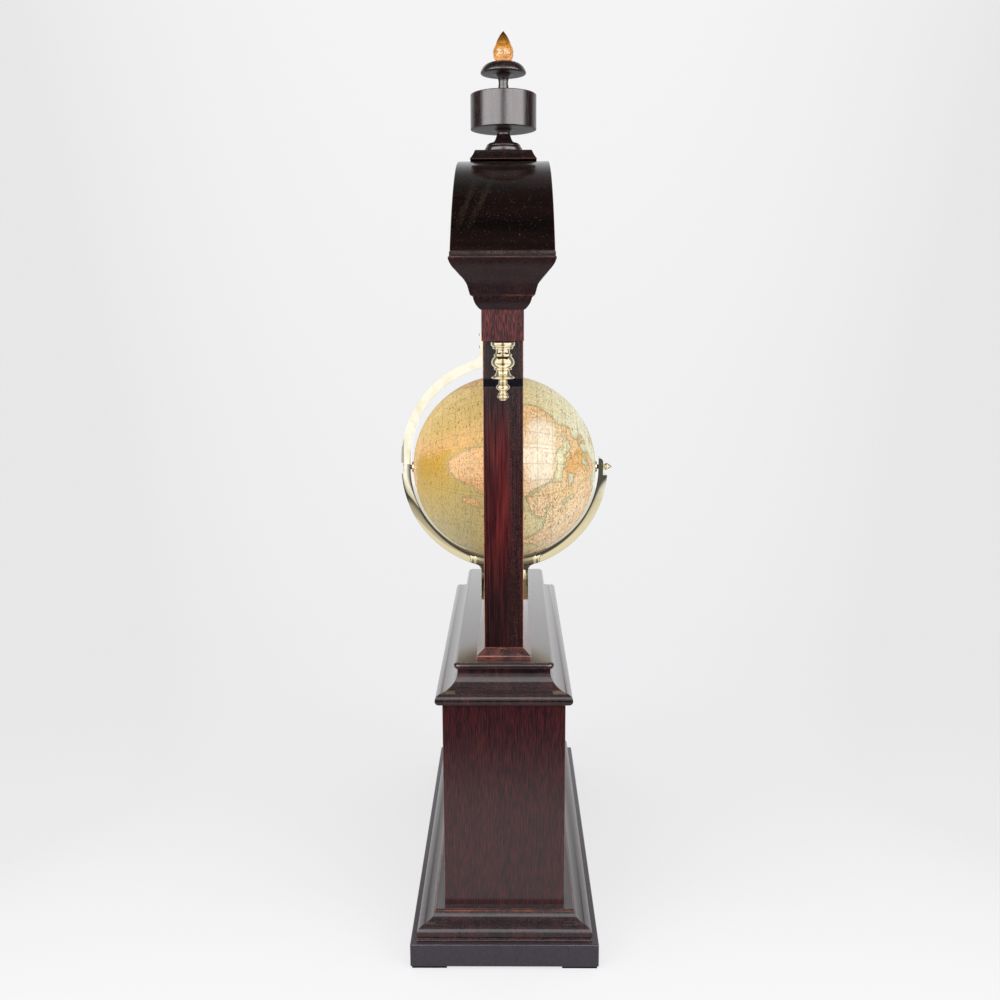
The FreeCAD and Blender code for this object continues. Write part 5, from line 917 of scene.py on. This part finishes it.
def paper_level(f, way):
    """How bright the paper sweep looks from the lens along a way."""
    across, up = f.axis("Y", way), f.axis("Z", way)
    stops = [((height + 0.6) / 0.9, (level, level, level)) for height, level in PAPER_LEVELS]
    level = f.axis("X", f.colours(f.spread(up, -0.6, 0.3), *stops))
    loss = f.times(f.math("POWER", f.size(across), 3.0), f.spread(up, -0.50, -0.38, 0.0, 1.55, True))
    return f.highest(f.minus(level, loss), 0.80)


IN_POLISHED_METAL = 1.4
NEAR_POST = -0.2


def table_finish():
    f = Finish("table")
    from_lens = f.node("VectorMath", {0: f.place, 1: LENS_PLACE}, operation="SUBTRACT").outputs[0]
    way = f.node("VectorMath", {0: from_lens}, operation="NORMALIZE").outputs[0]
    reach = f.node("VectorMath", {0: f.place}, operation="LENGTH").outputs["Value"]
    rays = f.node("LightPath").outputs
    lit = f.node("BsdfDiffuse", {"Color": (0.82, 0.82, 0.83, 1.0)})
    paper = f.node("Emission", {"Color": PAPER, "Strength": paper_level(f, way)})
    close = f.spread(reach, 0.35, 1.3, 0.25, 0.0, True)
    seen = f.node("MixShader", {0: close, 1: paper.outputs[0], 2: lit.outputs[0]})
    near = f.spread(f.axis("X"), TABLE_END, TABLE_BRIGHT)
    turn = f.math("ARCTAN2", f.size(f.axis("Y")), f.minus(NEAR_POST, f.axis("X")))
    side = f.times(f.spread(turn, 0.25, 0.40), f.spread(f.axis("Y"), 0.1, 0.3, 1.0, 0.6))
    side = f.times(side, f.spread(reach, 0.8, 1.7, 1.0, 0.65))
    beside = f.highest(f.times(near, f.spread(turn, 0.10, 0.22, 0.45, 1.0)), side)
    beside = f.times(beside, f.spread(turn, 1.58, 1.42, 0.15, 1.0))
    beside = f.highest(beside, f.spread(turn, 2.1, 2.3, 0.0, 0.75))
    sharp = f.spread(beside, 0.0, 1.0, 0.12, IN_POLISHED_METAL)
    soft = f.spread(near, 0.0, 1.0, 0.04, 0.85)
    bright = f.blend(rays["Is Singular Ray"], soft, sharp)
    glow = f.node("Emission", {"Color": PAPER, "Strength": bright})
    lying = f.spread(reach, 0.30, 0.6, 0.5, 0.0, True)
    lying = f.times(lying, f.spread(rays["Is Singular Ray"], 0.0, 1.0, 1.0, 0.3))
    mirrored = f.node("MixShader", {0: lying, 1: glow.outputs[0], 2: lit.outputs[0]})
    polished = f.highest(rays["Is Glossy Ray"], rays["Is Transmission Ray"])
    other = f.node("MixShader", {0: polished, 1: lit.outputs[0], 2: mirrored.outputs[0]})
    both = f.node("MixShader", {0: rays["Is Camera Ray"], 1: other.outputs[0], 2: seen.outputs[0]})
    f.node("OutputMaterial", {"Surface": both.outputs[0]})
    return f.made


def table():
    work = bmesh.new()
    bmesh.ops.create_circle(work, cap_ends=True, segments=96, radius=TABLE_RADIUS)
    mesh = bpy.data.meshes.new("table")
    work.to_mesh(mesh)
    work.free()
    mesh.materials.append(table_finish())
    made = bpy.data.objects.new("table", mesh)
    bpy.context.scene.collection.objects.link(made)


table()

SOFTBOX = 8.7
UPPER_LIGHT = 2.5


def surroundings():
    """The world: what the lens sees, what the clock mirrors and what lights it."""
    f = Finish("studio", "worlds")
    bpy.context.scene.world = f.made
    f.made.cycles.sampling_method = "NONE"
    way = f.coordinates["Generated"]
    forward, across, up = (f.axis(a, way) for a in "XYZ")
    seen = paper_level(f, way)
    # what polished things mirror, by the turn from the lens and the height above it
    turn = f.math("ARCTAN2", f.size(across), f.times(forward, -1.0))
    panel = f.times(f.spread(turn, 0.11, 0.16, smooth=True), f.spread(turn, 1.42, 1.26, smooth=True))
    panel = f.times(panel, f.spread(up, -0.14, -0.09, smooth=True))
    panel = f.times(panel, f.spread(up, 0.62, 0.45, smooth=True))
    gap = f.times(f.spread(up, -0.085, -0.035, 0.05, 0.95, True), f.spread(turn, 0.9, 0.5, 0.10, 1.0))
    gap = f.times(gap, f.spread(up, 0.85, 0.75, 0.20, 1.0, True))
    above = f.times(f.spread(up, 0.28, 0.36, smooth=True), f.spread(up, 0.82, 0.74, smooth=True))
    above = f.times(above, f.spread(turn, 1.3, 0.8))
    gap = f.blend(above, gap, UPPER_LIGHT)
    front = f.blend(panel, gap, SOFTBOX)
    back = f.spread(up, 0.45, 0.72, 0.92, 0.30, True)
    behind = f.spread(forward, 0.40, 0.70, smooth=True)
    mirrored = f.blend(behind, front, back)
    rays = f.node("LightPath").outputs
    beside = f.times(f.spread(turn, 0.14, 0.26, smooth=True), f.spread(turn, 1.62, 1.42, smooth=True))
    beside = f.times(beside, f.spread(up, 0.99, 0.92))
    between = f.spread(turn, 0.8, 1.4, 0.40, 0.22)
    limited = f.blend(beside, between, IN_POLISHED_METAL)
    limited = f.blend(f.spread(forward, 0.55, 0.70), limited, back)
    mirrored = f.blend(rays["Is Singular Ray"], mirrored, limited)
    ambient = f.spread(up, -0.2, 0.9, 0.62, 0.50)
    polished = f.highest(rays["Is Glossy Ray"], rays["Is Transmission Ray"])
    strength = f.blend(polished, ambient, mirrored)
    strength = f.blend(rays["Is Camera Ray"], strength, seen)
    ground = f.node("Background", {"Color": PAPER, "Strength": strength})
    f.node("OutputWorld", {"Surface": ground.outputs[0]})


surroundings()


def softbox(name, place, aim, width, power):
    light = bpy.data.lights.new(name, "AREA")
    light.size = width
    light.energy = power
    made = bpy.data.objects.new(name, light)
    made.location = place
    made.rotation_euler = (Vector(aim) - Vector(place)).to_track_quat("-Z", "Y").to_euler()
    made.visible_glossy = False
    made.visible_transmission = False
    bpy.context.scene.collection.objects.link(made)


for name, side in (("left_softbox", 1.5), ("right_softbox", -1.5)):
    softbox(name, place=(-1.5, side, 1.1), aim=(0, 0, 0.45), width=1.6, power=26)
softbox("top_softbox", place=(0.1, 0, 2.2), aim=(0, 0, 0), width=2.0, power=22)


# Camera: it stands on the clock's long axis, level with the top of the globe, and looks
# along the clock and slightly down.
def camera():
    yaw, pitch, roll = radians(-0.590), radians(-10.041), radians(-0.209)
    forward = Vector((cos(yaw) * cos(pitch), -sin(yaw) * cos(pitch), sin(pitch)))
    right = Vector((-sin(yaw), -cos(yaw), 0.0))
    above = right.cross(forward)
    across = right * cos(roll) + above * sin(roll)
    upward = above * cos(roll) - right * sin(roll)
    lens = bpy.data.cameras.new("camera")
    lens.sensor_width = 36.0
    lens.lens = 37.08
    made = bpy.data.objects.new("camera", lens)
    turned = Matrix((across, upward, -forward)).transposed().to_4x4()
    made.matrix_world = Matrix.Translation(LENS_PLACE) @ turned
    bpy.context.scene.collection.objects.link(made)
    bpy.context.scene.camera = made


camera()
bpy.context.scene.view_settings.view_transform = "Standard"
